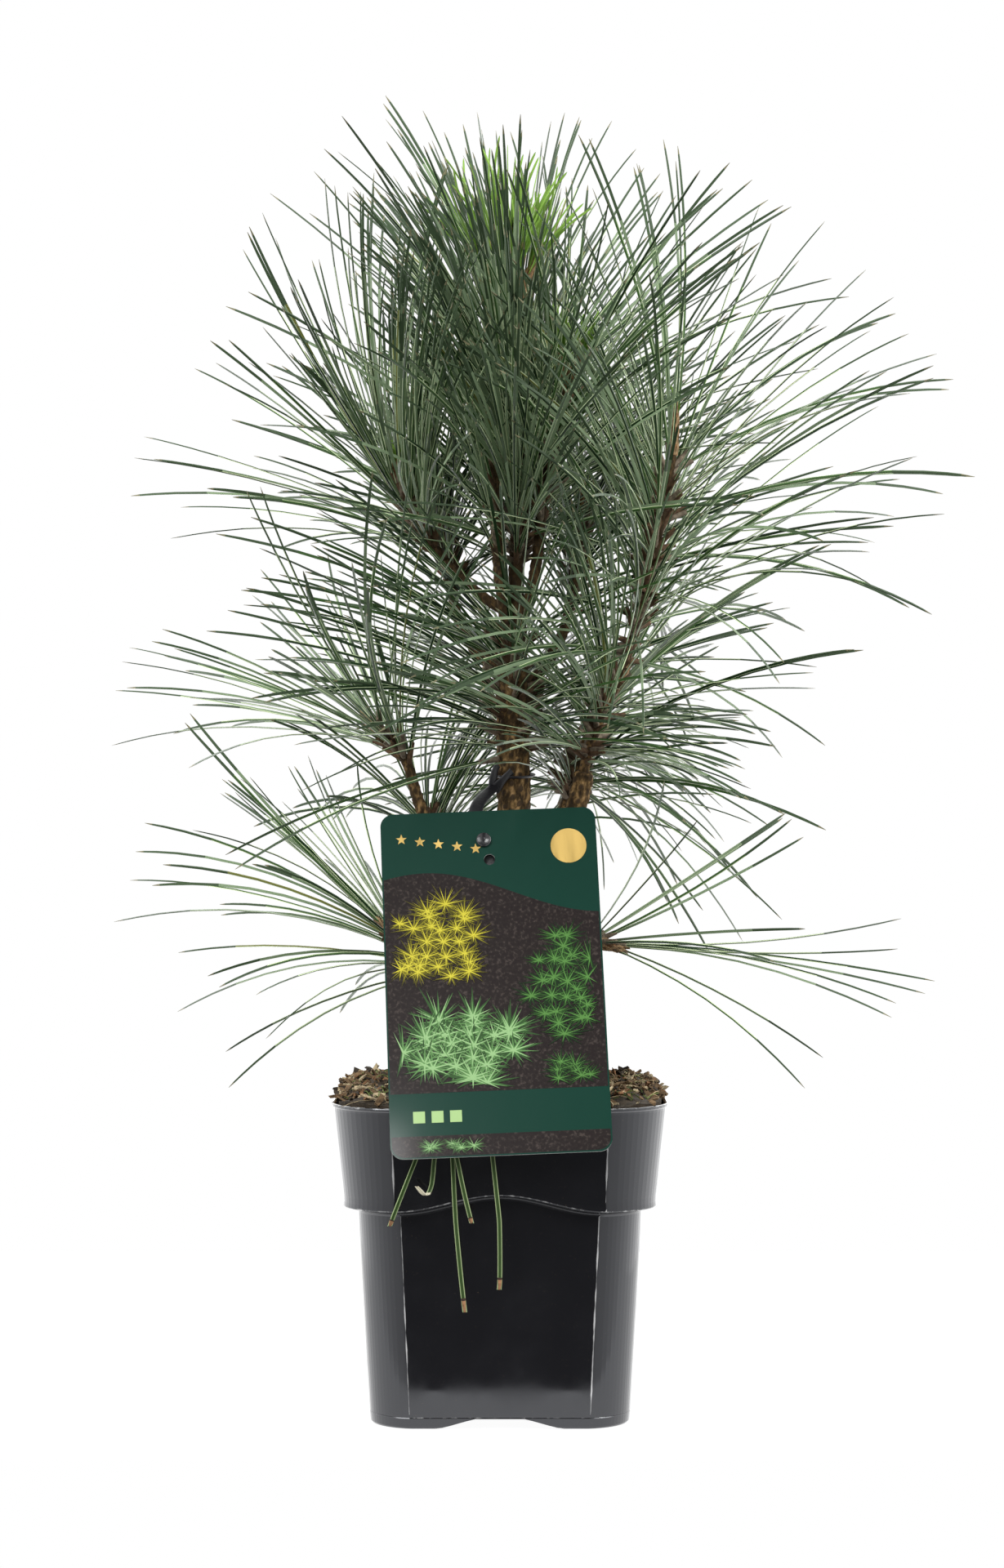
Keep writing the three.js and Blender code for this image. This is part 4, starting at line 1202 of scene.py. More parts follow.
def add_pair(needles, sheaths, pair, settings, stem_radius, light):
    """Adds two needles that part slowly, and the sheath that holds them; a light under 1 paints shade, with
    darker greens.
    """
    root, knee, tip, share, draw = pair
    heading = unit(knee - root)
    split = turned(unit(np.cross(heading, [0.3, 0.2, 1.0])), heading, draw() * 360)
    # Where light is under 1, painted shade: the kinds shift to the darker greens and the inner side takes the
    # shade too.
    kind = (draw() + 0.12 * (share - 0.5)) * light
    shade = next(i for i, limit in enumerate(SHADE_SHARES) if kind <= limit or i == 3)
    slots = needle_slots(shade, GREY_SLOT if light >= 1 else shade, len(SECTION))
    half_width = settings.width / MM / 2
    start = stem_radius + 0.35 * settings.sheath / MM
    reach = np.linalg.norm(knee - root) * 2
    shares = mix(start / reach, 1, NEEDLE_STEPS)
    parting = 2.5 + 12 * draw() ** 1.2
    twist = (draw() - 0.5) * 5
    for side in (-1, 1):
        stretch = 1 - 0.04 * draw()
        end = root + (tip - root) * stretch + split * side * parting
        middle = knee + split * side * parting * 0.3 + np.cross(heading, split) * twist * 0.5
        points = bowed(root, middle, end, shares)
        points = points + split * side * 0.42 * np.clip(1 - shares * 2, 0, 1)[:, None]
        add_needle(needles, points, split * side, half_width, slots)
    sheath = settings.sheath / MM
    cuff = np.array([stem_radius * 0.7, stem_radius + 0.25 * sheath, stem_radius + sheath])
    cuff_line = bowed(root, knee, tip, cuff / reach)
    sheaths.rod(cuff_line, (1.15, 1.2, 0.95), 6, 0 if draw() < 0.5 else 1)


def bearing_radius(shoot, root):
    """The radius of the limb or stem that a pair grows from."""
    if shoot.get("around") == "trunk":
        return trunk_radius(root[2])
    return LIMBS[shoot["around"]][3][0] if "around" in shoot else STEM_RADII[0]


class PINE_OT_needles(bpy.types.Operator):
    """Grow the needle pairs of every shoot"""

    bl_idname = "pine.needles"
    bl_label = "Needles"

    def execute(self, context):
        settings = context.scene.pine_foliage
        # edge is the pale painted highlight on a needle's edges.
        names = ("deep", "green", "grey", "olive", "edge", "tip", "dusk")
        finishes = [needle_finish("needle_" + name, getattr(settings, name)) for name in names]
        sheaths = Heap()
        for seed, (name, shoot) in enumerate(SHOOTS.items(), 1):
            needles = Heap()
            for pair in grow(name, shoot, settings.fullness, seed):
                radius = bearing_radius(shoot, pair[0])
                add_pair(needles, sheaths, pair, settings, radius, shoot.get("light", 1))
            spray = needles.mesh(name)
            smooth(spray, 50)
            finished(spray, name.replace("needles", "sprays"), finishes, "needles", name)
        cuffs = sheaths.mesh("needle_sheaths")
        smooth(cuffs, 60)
        browns = [
            soil_finish("sheath_brown", (0.105, 0.062, 0.034), 0.2),
            soil_finish("sheath_grey", (0.200, 0.160, 0.115), 0.2),
        ]
        finished(cuffs, "needle_sheaths", browns, "needles")
        return {"FINISHED"}


# Candles and buds

# Each candle round the leader's tip: its turn, its reach outward and its height. Then each in the middle
# bough's bunch: how far its tip stands from the bough's. Then the height of the one on each other shoot.
CREST_CANDLES = (
    (205, 15, 22), (215, 9, 29), (262, 7, 32), (310, 8, 28), (350, 10, 22), (90, 7, 20), (280, 13, 17),
)
MIDDLE_CANDLES = ((-2, -9, 20), (6, -12, 16), (2, -6, 14))
SIDE_CANDLES = {
    "right_needles": 17, "upper_left_needles": 12, "back_left_needles": 12, "back_right_needles": 12,
}
BUD_SHOOTS = (
    "right_low_needles", "left_needles", "low_right_needles", "low_left_needles",
    "back_low_left_needles", "back_low_right_needles",
)
# Each finish of the woody parts: its shade and the depth of its bumps.
WOODS = {
    "candle_brown": ((0.230, 0.120, 0.055), 0.3),
    "candle_scale": ((0.360, 0.240, 0.130), 0.2),
    "cut_wood": ((0.330, 0.360, 0.150), 0.1),
}


def add_scales(heap, curve, radius, rows, slot, draw):
    """Adds overlapping papery scales round a bud or candle."""
    for row in range(rows):
        share = row / rows
        for k in range(5):
            angle = math.radians(72 * k + 36 * (row % 2) + 20 * draw())
            heading = curve.heading(share)
            side = unit(np.cross(heading, [0.1, 1.0, 0.2]))
            out = turned(side, heading, math.degrees(angle))
            across = np.cross(heading, out)
            width = radius * (1 - 0.55 * share)
            foot = curve.at(share) + out * width * 0.86
            tall = curve.run[-1] / rows * 1.9
            tip = foot + heading * tall + out * width * (0.28 + 0.2 * draw())
            belly = foot + heading * tall * 0.5 + out * width * 0.34
            half = across * width * 0.62
            points = np.array([foot - half, foot + half, belly + half * 0.7, belly - half * 0.7, tip])
            inner = points - out * 0.35
            faces = [
                [0, 1, 2, 3], [3, 2, 4], [8, 7, 6, 5], [9, 7, 8],
                [0, 5, 6, 1], [1, 6, 7, 2], [2, 7, 9, 4], [4, 9, 8, 3], [3, 8, 5, 0],
            ]
            heap.add(np.concatenate([points, inner]), faces, slot)


def add_candle(woody, young, foot, top, radius, tuft, draw, width):
    """Adds a candle of new growth: a scaly stem and a close tuft of short bright needles."""
    count, reach, spread = tuft
    curve = Curve.bend(foot, mix(foot, top, 0.5), top)
    line = [curve.at(s) for s in np.linspace(0, 1, 6)]
    woody.rod(line, radius * np.array([1, 0.98, 0.92, 0.84, 0.72, 0.45]), 8, 0)
    add_scales(woody, curve, radius, 6, 1, draw)
    heading = unit(top - foot)
    for i in range(count):
        share = 0.35 + 0.6 * (i + 0.5) / count
        root = curve.at(share)
        lean = mix(spread[0], spread[1], share) * (0.7 + 0.6 * draw())
        root, knee, tip = needle_line(root, heading, i * GOLDEN_TURN, lean, reach * (0.62 + 0.4 * draw()), 0)
        side = unit(np.cross(heading, knee - root))
        add_needle(young, bowed(root, knee, tip, NEEDLE_STEPS), side, width, 0 if draw() < 0.6 else 1)


class PINE_OT_candles(bpy.types.Operator):
    """Make the candles of new growth, the buds and the cut end of the old leader"""

    bl_idname = "pine.candles"
    bl_label = "Candles and buds"

    def execute(self, context):
        settings = context.scene.pine_foliage
        draw = seeded_random(77)
        woody, young = Heap(), Heap()
        crest = TRUNK.at(1) - (0, 0, 3)
        for k, (angle, out, tall) in enumerate(CREST_CANDLES):
            turn = math.radians(angle)
            top = crest + (out * math.cos(turn), out * 0.7 * math.sin(turn), tall)
            add_candle(woody, young, crest, top, 2.0, (20, 44 - k, (8, 20)), draw, 0.5)
        curve, _ = SHOOT_CURVES["middle_needles"]
        for aside in MIDDLE_CANDLES:
            add_candle(woody, young, curve.at(0.97), curve.at(1) + aside, 1.7, (18, 21, (5, 14)), draw, 0.7)
        for name, tall in SIDE_CANDLES.items():
            curve, _ = SHOOT_CURVES[name]
            top = curve.at(1) + (1, 0, tall)
            add_candle(woody, young, curve.at(0.98), top, 1.8, (8, 12, (6, 14)), draw, 0.5)
        for name in BUD_SHOOTS:
            curve, _ = SHOOT_CURVES[name]
            end = curve.at(1)
            bud = Curve([end - curve.heading(1) * 1.5, end + curve.heading(1) * 9])
            woody.rod([bud.at(s) for s in np.linspace(0, 1, 5)], (1.7, 2.1, 1.9, 1.2, 0.3), 8, 0)
            add_scales(woody, bud, 2.1, 5, 1, draw)
        stub = LIMB_CURVES["cut_leader"]
        woody.rod([stub.at(0.985), stub.at(1) + (0, 0, 0.8)], (2.0, 1.85), 14, 2)
        buds = woody.mesh("candle_wood")
        smooth(buds, 40)
        browns = [soil_finish(name, *look) for name, look in WOODS.items()]
        finished(buds, "candle_wood", browns, "bark")
        tufts = young.mesh("new_needles")
        smooth(tufts, 50)
        bright = scaled(settings.young, 1.35)
        greens = [needle_finish("new_green", settings.young), needle_finish("new_bright", bright)]
        finished(tufts, "new_needles", greens, "needles")
        return {"FINISHED"}


# Card

# Each cushion on the card: middle, reach across and up, number of rosettes, needle length and three greens.
CUSHIONS = (
    (-21, 83, 18, 17, 26, 7.6, (0, 1, 2)), (26, 66, 13, 22, 24, 7.8, (3, 4, 5)),
    (-12, 42, 24, 14, 24, 11, (6, 7, 8)), (27, 31, 11, 4, 7, 6.5, (3, 4, 5)),
    (-20, 4.2, 12, 1.5, 7, 4.5, (6, 7, 8)),
)
# Each layer of a rosette: the turn from needle to needle, their length and their half width.
ROSETTE_LAYERS = ((27.7, 1.15, 0.085), (27.7, 0.95, 0.04), (51.4, 0.8, 0.034))
CARD_GREENS = {
    "ochre": (0.070, 0.062, 0.008), "lime": (0.26, 0.23, 0.016), "yellow": (0.56, 0.50, 0.045),
    "pine_shade": (0.008, 0.022, 0.007), "pine": (0.030, 0.090, 0.018),
    "pine_light": (0.085, 0.210, 0.050), "soft_shade": (0.030, 0.075, 0.022),
    "soft": (0.105, 0.230, 0.075), "soft_light": (0.270, 0.450, 0.200),
}
# The print keeps clear of the card's edge. The green band lies between the strip and the field over it.
PRINT_EDGE = 0.6
STRIP_TOP, FIELD_FOOT = 8.5, 25


def field_top(x):
    """The height of the dark field's wavy upper edge."""
    return 103 + 9 * math.sin((x + 60) / 22)


def add_flat(heap, outline, top, slot):
    """Adds a flat slab on the card's front: an outline across and up the card, raised to a level."""
    count = len(outline)
    points = [(x, y, level) for level in (CARD["thickness"], top) for x, y in outline]
    faces = [list(range(count))[::-1], [count + i for i in range(count)]]
    faces += [[i, (i + 1) % count, (i + 1) % count + count, i + count] for i in range(count)]
    heap.add(on_card(points), faces, slot)


def star(x, y, radius):
    """The outline of a five-pointed star."""
    turns = [math.radians(90 + 36 * k) for k in range(10)]
    return [
        (x + radius * (1 if k % 2 == 0 else 0.42) * math.cos(a),
         y + radius * (1 if k % 2 == 0 else 0.42) * math.sin(a))
        for k, a in enumerate(turns)
    ]


def card_finish(name, shade, mottled=None, roughness=0.28):
    """Printed plastic with a clear gloss; mottled adds two more shades in specks."""
    finish = Finish(name, shade, roughness, Specular_IOR_Level=0.2, Coat_Weight=0.45, Coat_Roughness=0.09)
    if mottled:
        speck = finish.noise(800, 9.0)
        finish.feed(finish.ramp(speck, [(0.40, shade), (0.54, mottled[0]), (0.70, mottled[1])]), "Base Color")
    finish.bump(finish.noise(90, 1.0, (1, 0.3, 0.3)), 0.25, 0.2)
    return finish.material


class PINE_OT_card(bpy.types.Operator):
    """Make the picture card with its plain badge, stars and sprigs"""

    bl_idname = "pine.card"
    bl_label = "Picture card"

    def execute(self, context):
        settings = context.scene.pine_card
        self.make_body(settings)
        self.make_picture(settings)
        self.make_sprigs()
        self.make_gold(settings)
        return {"FINISHED"}

    def make_body(self, settings):
        """The card itself, with rounded corners and two holes."""
        bpy.ops.object.select_all(action="DESELECT")
        bpy.ops.mesh.primitive_plane_add(size=1, location=(0, CARD["height"] / 2, 0))
        card = bpy.context.object
        card.scale = (CARD["width"], CARD["height"], 1)
        bpy.ops.object.transform_apply(location=True, scale=True)
        bpy.ops.object.mode_set(mode="EDIT")
        bpy.ops.mesh.select_all(action="SELECT")
        bpy.ops.mesh.bevel(offset=CARD["corner"], segments=8, affect="VERTICES")
        bpy.ops.mesh.select_all(action="SELECT")
        bpy.ops.mesh.extrude_region_move(TRANSFORM_OT_translate={"value": (0, 0, CARD["thickness"])})
        bpy.ops.mesh.select_all(action="SELECT")
        bpy.ops.mesh.normals_make_consistent(inside=False)
        bpy.ops.object.mode_set(mode="OBJECT")
        for x, y, radius in CARD["holes"]:
            bpy.ops.mesh.primitive_cylinder_add(vertices=32, radius=radius, depth=4, location=(x, y, 0.4))
            drill = bpy.context.object
            select_only(card)
            cut = card.modifiers.new("hole", "BOOLEAN")
            cut.object = drill
            cut.solver = "EXACT"
            bpy.ops.object.modifier_apply(modifier=cut.name)
            bpy.data.objects.remove(drill)
        card.data.transform(Matrix.Scale(MM, 4) @ CARD_FRAME)
        card.data.update()
        front = np.array(CARD_FRAME)[:3, 2]
        for face in card.data.polygons:
            facing = float(np.dot(np.array(face.normal), front))
            face.material_index = 0 if facing > 0.9 else 2 if facing < -0.9 else 1
        finishes = [
            card_finish("card_green", settings.ground),
            card_finish("card_edge", (0.62, 0.64, 0.62), roughness=0.5),
            card_finish("card_back", (0.70, 0.71, 0.68), roughness=0.35),
        ]
        finished(card, "card_body", finishes, "card_plastic", "picture_card")

    def make_picture(self, settings):
        """The dark field behind the sprigs, with a wavy upper edge, and a strip below the band."""
        top = CARD["thickness"] + 0.06
        half = CARD["width"] / 2
        left, right = -half + PRINT_EDGE, half - PRINT_EDGE
        waves = [(x, field_top(x)) for x in np.linspace(left, right, 40)]
        field = Heap()
        add_flat(field, [(left, FIELD_FOOT), (right, FIELD_FOOT)] + waves[::-1], top, 0)
        corner = CARD["corner"]
        foot = [(left, STRIP_TOP), (left, corner)]
        foot += [
            (side * (right - corner) + corner * math.cos(a), corner + (corner - PRINT_EDGE) * math.sin(a))
            for side, turns in ((-1, (180, 270)), (1, (270, 360)))
            for a in np.radians(np.linspace(*turns, 7))
        ]
        add_flat(field, foot + [(right, STRIP_TOP)], top, 0)
        obj = field.mesh("card_picture")
        brown = card_finish("card_field", settings.field, [(0.015, 0.011, 0.010), (0.052, 0.040, 0.036)])
        finished(obj, "card_picture", [brown], "card_plastic")

    def make_sprigs(self):
        """Cushions of simple needle rosettes, each rosette a little over the ones above it."""
        draw = seeded_random(5)
        heap = Heap()
        level = CARD["thickness"] + 0.08
        for x, y, wide, tall, count, reach, slots in CUSHIONS:
            in_strip = y < STRIP_TOP
            places = []
            for k in range(count):
                angle = math.radians(k * GOLDEN_TURN + 50 * draw())
                out = math.sqrt((k + 0.5) / count) * (0.86 + 0.22 * draw())
                places.append((y + tall * out * math.sin(angle), x + wide * out * math.cos(angle)))
            for k, (cy, cx) in enumerate(sorted(places, reverse=True)):
                size = reach * (0.75 + 0.45 * draw())
                squash = 0.6 + 0.4 * draw()
                for i in range(33):
                    layer = min(i // 13, 2)
                    step, stretch, thin = ROSETTE_LAYERS[layer]
                    turn = math.radians(step * i + 16 * draw())
                    long = size * stretch * (0.65 + 0.45 * draw())
                    tip = (cx + long * math.cos(turn), cy + long * squash * math.sin(turn) + 0.12 * size)
                    low, high = (0.8, 7.8) if in_strip else (FIELD_FOOT + 0.6, field_top(tip[0]) - 3)
                    printed = low < tip[1] < high and low < cy < high
                    if not printed or abs(tip[0]) > 40.5 or abs(cx) > 40:
                        continue
                    half = thin * reach
                    side = (-math.sin(turn) * half, math.cos(turn) * half)
                    outline = [(cx - side[0], cy - side[1]), tip, (cx + side[0], cy + side[1])]
                    lift = level + 0.2 * k / count + 0.03 * layer + 0.02 * draw()
                    add_flat(heap, outline, lift, slots[layer])
        obj = heap.mesh("card_sprigs")
        finishes = [card_finish("card_" + name, shade) for name, shade in CARD_GREENS.items()]
        finished(obj, "card_sprigs", finishes, "card_plastic")

    def make_gold(self, settings):
        """A plain round badge, a row of small stars and three pale squares on the band."""
        heap = Heap()
        base = CARD["thickness"]
        disc = [(31 + 7 * math.cos(a), 121 + 7 * math.sin(a)) for a in np.radians(np.arange(0, 360, 10))]
        add_flat(heap, disc, base + 0.12, 0)
        for k in range(5):
            add_flat(heap, star(-34 + 7.2 * k, 126 - 1.2 * k, 2.2), base + 0.1, 0)
        for k in range(3):
            x = -33 + 7 * k
            add_flat(heap, [(x, 13.5), (x + 4.5, 13.5), (x + 4.5, 18), (x, 18)], base + 0.07, 1)
        obj = heap.mesh("card_badges")
        gold = Finish("card_gold", settings.gold, 0.34, Metallic=0.55, Coat_Weight=0.4, Coat_Roughness=0.15)
        brushed = gold.noise(240, 2.0, (1, 0.2, 0.2))
        gold.feed(gold.between(brushed, 0.26, 0.44, 0.3, 0.7), "Roughness")
        pale = card_finish("card_pale", (0.35, 0.52, 0.22))
        finished(obj, "card_badges", [gold.material, pale], "card_plastic")


# Tie

# The section of the stud in the card's upper hole: reach from its middle, and height.
STUD = np.array([
    (0, 1.1), (1.0, 1.25), (1.9, 1.5), (2.5, 1.9), (2.8, 1.7),
    (2.85, 1.2), (1.5, 1.0), (1.4, -1.5), (0, -1.5),
])
STUD_SIDES = 28


def band(curve, width, thickness, turns, columns=16, rows=60):
    """A strap with rounded edges that twists along a curve."""
    points = np.array([curve.at(s) for s in np.linspace(0, 1, rows + 1)])
    _, across, out = frames_along(points)

    def place(around, up):
        row = np.round(up * rows).astype(int)
        angle = 2 * math.pi * np.round(around * columns) / columns
        twist = turns * 2 * math.pi * row / rows
        wide = np.cos(twist)[:, None] * across[row] + np.sin(twist)[:, None] * out[row]
        thin = -np.sin(twist)[:, None] * across[row] + np.cos(twist)[:, None] * out[row]
        fold = 1 - 0.35 * np.sin(3 * twist) ** 2
        x = np.sign(np.cos(angle)) * np.abs(np.cos(angle)) ** 0.7 * width / 2 * fold
        y = np.sign(np.sin(angle)) * np.abs(np.sin(angle)) ** 0.7 * thickness / 2
        return points[row] + wide * x[:, None] + thin * y[:, None]

    return wrapped(columns, rows, place)


class PINE_OT_tie(bpy.types.Operator):
    """Make the twisted strap that ties the card to the trunk"""

    bl_idname = "pine.tie"
    bl_label = "Tie"

    def execute(self, context):
        finish = Finish("tie_plastic", (0.006, 0.006, 0.008), 0.45, Specular_IOR_Level=0.35)
        finish.bump(finish.noise(700, 4.0, (1, 1, 0.2)), 0.25, 0.7)
        centre = TRUNK.at(TRUNK.share_at_height(TIE["height"]))
        radius = trunk_radius(TIE["height"]) + 1.3
        knot = centre + unit(np.array([*TIE["knot"], 0.0])) * (radius + 0.8) + (-1.6, -0.6, -4)
        x, y, _ = CARD["holes"][0]
        behind = on_card([(x, y, -1.2)])[0]
        over = on_card([(x - 2.6, CARD["height"] + 1, -2.4)])[0]
        low = on_card([(0.6, 119, -2.6)])[0]
        tail = on_card([(0.5, 107, -2.2)])[0]
        foot = knot - (0.5, 0, 2)
        angles = np.radians(np.linspace(0, 360, 61))
        loop = [centre + (radius * math.cos(a), radius * math.sin(a), 0.9 * math.sin(a)) for a in angles]
        # Each band: its curve, width, thickness and turns.
        bands = {
            "tie_tail": (Curve.bend(behind + (0, 1.2, 1), low, tail), TIE["width"], 1.1, 0),
            "tie_strap": (Curve.through([behind, over, knot]), 5.8, 1.2, 0.06),
            "tie_wrap": (Curve(loop), 1.7, 0.8, 0),
            "tie_knot": (Curve.bend(foot, knot + (-1.6, -1.4, 3.4), knot + (0.8, 0.2, 8)), 4.2, 1.6, 0.1),
            "tie_end": (Curve.bend(foot, knot + (1.6, -1.8, 1.0), knot + (6.6, -1.0, 5.6)), 4.4, 1.3, 0.12),
        }
        for name, (curve, wide, thick, turns) in bands.items():
            piece = band(curve, wide, thick, turns)
            smooth(piece, 50)
            solids = ["label_tie"] if name == "tie_strap" else []
            finished(piece, name, [finish.material], "tie_plastic", *solids)

        def dome(around, up):
            angle = 2 * math.pi * np.round(around * STUD_SIDES) / STUD_SIDES
            reach, level = STUD[np.round(up * (len(STUD) - 1)).astype(int)].T
            local = np.column_stack([x + reach * np.cos(angle), y + reach * np.sin(angle), level])
            return on_card(local)

        stud = wrapped(STUD_SIDES, len(STUD) - 1, dome)
        smooth(stud, 40)
        shine = Finish("stud_plastic", (0.02, 0.02, 0.022), 0.18)
        finished(stud, "tie_stud", [shine.material], "tie_plastic")
        return {"FINISHED"}


# Fallen needles

# Where each caught pair shows below the card, down to its sheath: points across, up and out, in mm.
FALLEN = (
    ((-31.5, 107, 0), (-40.0, 85.4, 0), (-41.8, 80.6, 0)),
    ((-24.8, 107, 0), (-26.3, 95, 0), (-28.0, 92.4, -1), (-31.6, 96, -2.2)),
    ((-18.0, 107, 0), (-16.7, 81.4, 0), (-13.8, 52.0, 0), (-13.3, 47.9, 0)),
    ((-16.4, 107, -1.8), (-13.9, 95, -1.8), (-12.1, 87.3, -1.8), (-10.7, 82, -1.8)),
    ((-2.8, 107, 0), (-0.6, 86.4, 0), (-0.2, 82, 0), (-0.1, 58.2, 0), (-0.3, 56.5, 0)),
)


class PINE_OT_fallen(bpy.types.Operator):
    """Make the fallen needle pairs caught between the card and the rim"""

    bl_idname = "pine.fallen"
    bl_label = "Caught needles"

    def execute(self, context):
        greens = [
            needle_finish("fallen_dark", (0.040, 0.075, 0.022)),
            needle_finish("fallen_pale", (0.300, 0.370, 0.190)),
            soil_finish("fallen_sheath", (0.300, 0.160, 0.080), 0.2),
            soil_finish("fallen_ring", (0.030, 0.018, 0.012), 0.2),
            needle_finish("fallen_bleached", (0.620, 0.580, 0.440)),
        ]
        front = -POT["rim"][0] - 1.3
        for k, places in enumerate(FALLEN, 1):
            heap = Heap()
            line = np.array([(x, front + out, z) for x, z, out in places])
            shown = Curve.through(line, 8)
            hook = k == 2
            for side in (-1, 1):
                points = np.array([shown.at(s) for s in np.linspace(0, 1, 22)])
                points[:, 0] += side * 0.44
                radii = np.full(len(points), 0.46)
                if hook:
                    radii[-8:] *= (1.1, 1.3, 1.4, 1.4, 1.3, 1.2, 1.0, 0.7)
                self.strip(heap, points, radii, side, hook)
            if not hook:
                sheath = [shown.at(s) for s in np.linspace(0.92, 1.0, 5)]
                heap.rod(sheath, (0.86, 0.84, 0.8, 0.74, 0.55), 8, 2)
                heap.rod([shown.at(0.91), shown.at(0.925)], (0.94, 0.94), 8, 3)
            piece = heap.mesh("fallen_pair")
            smooth(piece, 50)
            finished(piece, "caught_pair_%d" % k, greens, "fallen_needles", "caught_needles_%d" % k)
        return {"FINISHED"}

    @staticmethod
    def strip(heap, points, radii, side, bleached):
        """One half of a pair, dark towards the other half and pale outside; a bleached one ends pale."""
        section = np.array([(1, 0.1), (0.3, 0.8), (-0.5, 0.75), (-1, 0.1), (-0.6, -0.5), (0.6, -0.5)])
        section[:, 0] *= side
        if side < 0:
            section = section[::-1]
        upright = section[:, :1] * (1, 0, 0) + section[:, 1:] * (0, -1, 0)
        rings = [p + r * upright for p, r in zip(points, radii)]
        outward = section[:, 0] + np.roll(section[:, 0], -1)
        around = [1 if out * side > 0.6 else 0 for out in outward]
        slots = [0]
        for ring in range(len(rings) - 1):
            slots += [4] * len(section) if bleached and ring > len(rings) - 9 else around
        heap.add(np.concatenate(rings), rod_faces(len(rings), len(section)), slots + [4 if bleached else 0])


# Stage

# A light table under the pot; its front edge lies close before the pot.
FLOOR = {"width": 0.56, "depth": 0.5, "front": 0.1}
# How dark the studio is behind the camera, seen in the gloss of the pot's front.
DARK_SIDE = {"shade": 0.10, "half_width": (0.16, 0.34), "depth": (-0.62, -0.45)}
# How much brighter than white the studio's walls are in a gloss, from the front to the back, and how
# bright they are as a soft light on dull surfaces.
WALLS = {"depth": (-0.9, 0.3), "gain": (0.15, 1.7)}
WALL_LIGHT = 0.32
# Each lamp: its place, its width and its power. All face one point.
LAMPS = {
    "key": ((-0.9, -1.1, 1.5), 1.1, 42),
    "fill": ((1.2, -0.7, 1.0), 1.1, 22),
    "glare": ((-0.12, -0.96, 0.58), 0.10, 0.42),
}
LAMP_AIM = Vector((0, 0, 0.25))
CAMERA = {"aside": 0.0008, "lens": 70.35, "sensor_width": 36}


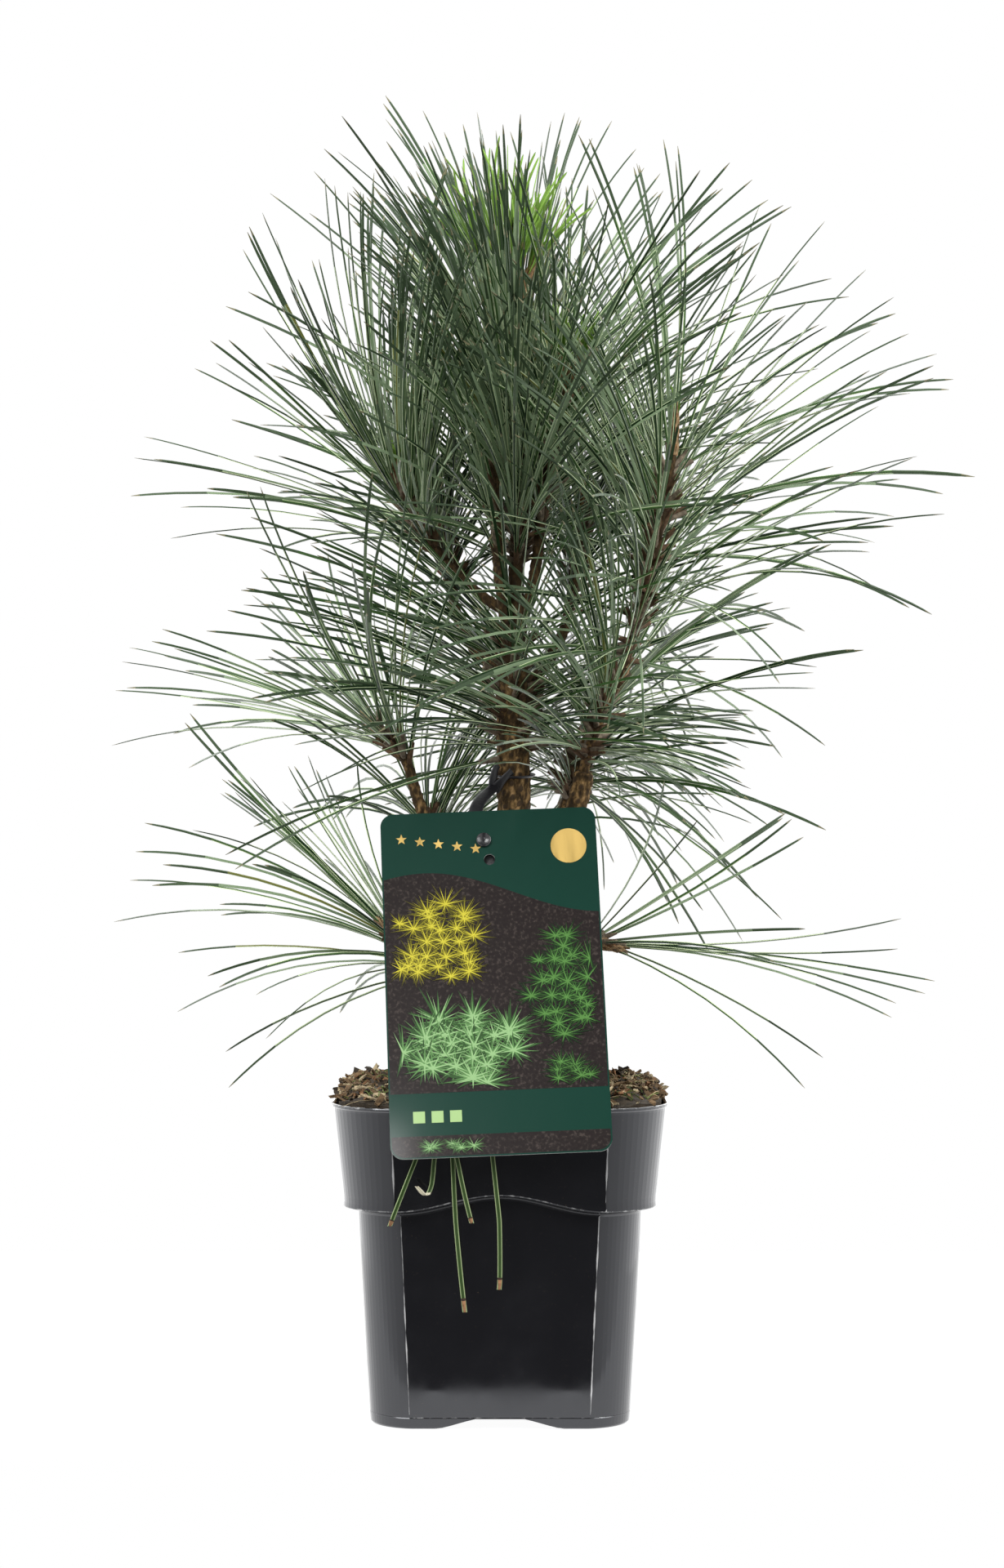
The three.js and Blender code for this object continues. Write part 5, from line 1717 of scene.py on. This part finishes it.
class PINE_OT_stage(bpy.types.Operator):
    """Set the pale floor, the soft light and the camera"""

    bl_idname = "pine.stage"
    bl_label = "Stage"

    def execute(self, context):
        bpy.ops.object.select_all(action="DESELECT")
        bpy.ops.mesh.primitive_plane_add(size=1, location=(0, FLOOR["depth"] / 2 - FLOOR["front"], -0.0004))
        floor = bpy.context.object
        floor.name = "floor"
        floor.scale = (FLOOR["width"], FLOOR["depth"], 1)
        paint = Finish(
            "floor_white", (0.2, 0.2, 0.2), 0.9, Specular_IOR_Level=0.0, Emission_Color=(1, 1, 1, 1),
        )
        gloss = paint.node("LightPath").outputs["Is Glossy Ray"]
        paint.feed(paint.between(gloss, 0.95, 1.9), "Emission Strength")
        floor.data.materials.append(paint.material)
        for name, look in LAMPS.items():
            self.light(name, *look)
        self.world(context)
        lens = bpy.data.cameras.new("camera")
        lens.sensor_width = CAMERA["sensor_width"]
        lens.lens = CAMERA["lens"]
        camera = bpy.data.objects.new("camera", lens)
        camera.location = (CAMERA["aside"], -VIEW_DISTANCE * MM, VIEW_HEIGHT * MM)
        camera.rotation_euler = (math.pi / 2, 0, 0)
        context.scene.collection.objects.link(camera)
        context.scene.camera = camera
        context.scene.view_settings.view_transform = "Standard"
        return {"FINISHED"}

    @staticmethod
    def light(name, place, size, power):
        """A soft square light that faces the plant."""
        lamp = bpy.data.lights.new(name, "AREA")
        lamp.size = size
        lamp.energy = power
        obj = bpy.data.objects.new(name, lamp)
        obj.location = place
        obj.rotation_euler = (LAMP_AIM - Vector(place)).to_track_quat("-Z", "Y").to_euler()
        bpy.context.scene.collection.objects.link(obj)

    @staticmethod
    def world(context):
        """White all round, but dark behind the camera, as a studio is; the backdrop is white."""
        world = context.scene.world or bpy.data.worlds.new("studio")
        context.scene.world = world
        world.use_nodes = True
        nodes = Nodes(world.node_tree)
        x, y, _ = nodes.node("SeparateXYZ", [(0, nodes.node("TexCoord").outputs["Generated"])]).outputs
        edges = ((nodes.maths("ABSOLUTE", x), DARK_SIDE["half_width"]), (y, DARK_SIDE["depth"]))
        dimmed = nodes.maths("MAXIMUM", *(
            nodes.between(value, DARK_SIDE["shade"], 1, *edge, interpolation_type="SMOOTHSTEP")
            for value, edge in edges
        ))
        path = nodes.node("LightPath").outputs
        walls = nodes.between(y, *WALLS["gain"], *WALLS["depth"])
        gain = nodes.maths("ADD", nodes.maths("MULTIPLY", walls, path["Is Glossy Ray"]), 1)
        soft = nodes.between(path["Is Diffuse Ray"], 1, WALL_LIGHT)
        lit = nodes.maths("MULTIPLY", dimmed, nodes.maths("MULTIPLY", soft, gain))
        shade = nodes.maths("MAXIMUM", lit, path["Is Camera Ray"])
        sky = world.node_tree.nodes["Background"]
        world.node_tree.links.new(shade, sky.inputs["Color"])
        sky.inputs["Strength"].default_value = 1.0


class PINE_PT_panel(bpy.types.Panel):
    """The plant's pieces and settings in the sidebar"""

    bl_idname = "PINE_PT_panel"
    bl_label = "Potted pine"
    bl_space_type = "VIEW_3D"
    bl_region_type = "UI"
    bl_category = "Pine"

    def draw(self, context):
        layout = self.layout
        for name, group in GROUPS.items():
            box = layout.box()
            box.label(text=group.__doc__)
            for setting in group.__annotations__:
                box.prop(getattr(context.scene, name), setting)
        for operator in OPERATORS:
            layout.operator(operator.bl_idname)


GROUPS = {
    "pine_foliage": PineFoliage, "pine_bark": PineBark, "pine_pot": PinePot, "pine_card": PineCard,
}
OPERATORS = (
    PINE_OT_stage, PINE_OT_pot, PINE_OT_soil, PINE_OT_bark, PINE_OT_needles,
    PINE_OT_candles, PINE_OT_card, PINE_OT_tie, PINE_OT_fallen,
)


def register():
    """Adds the settings, the operators and the panel."""
    for name, group in GROUPS.items():
        bpy.utils.register_class(group)
        setattr(bpy.types.Scene, name, bpy.props.PointerProperty(type=group))
    for made in (*OPERATORS, PINE_PT_panel):
        bpy.utils.register_class(made)


def unregister():
    """Takes them away again."""
    for made in (PINE_PT_panel, *reversed(OPERATORS)):
        bpy.utils.unregister_class(made)
    for name, group in GROUPS.items():
        delattr(bpy.types.Scene, name)
        bpy.utils.unregister_class(group)


def main():
    """Builds every piece in order."""
    register()
    bpy.ops.pine.stage()
    bpy.ops.pine.pot()
    bpy.ops.pine.soil()
    bpy.ops.pine.bark()
    bpy.ops.pine.needles()
    bpy.ops.pine.candles()
    bpy.ops.pine.card()
    bpy.ops.pine.tie()
    bpy.ops.pine.fallen()


if __name__ == "__main__":
    main()
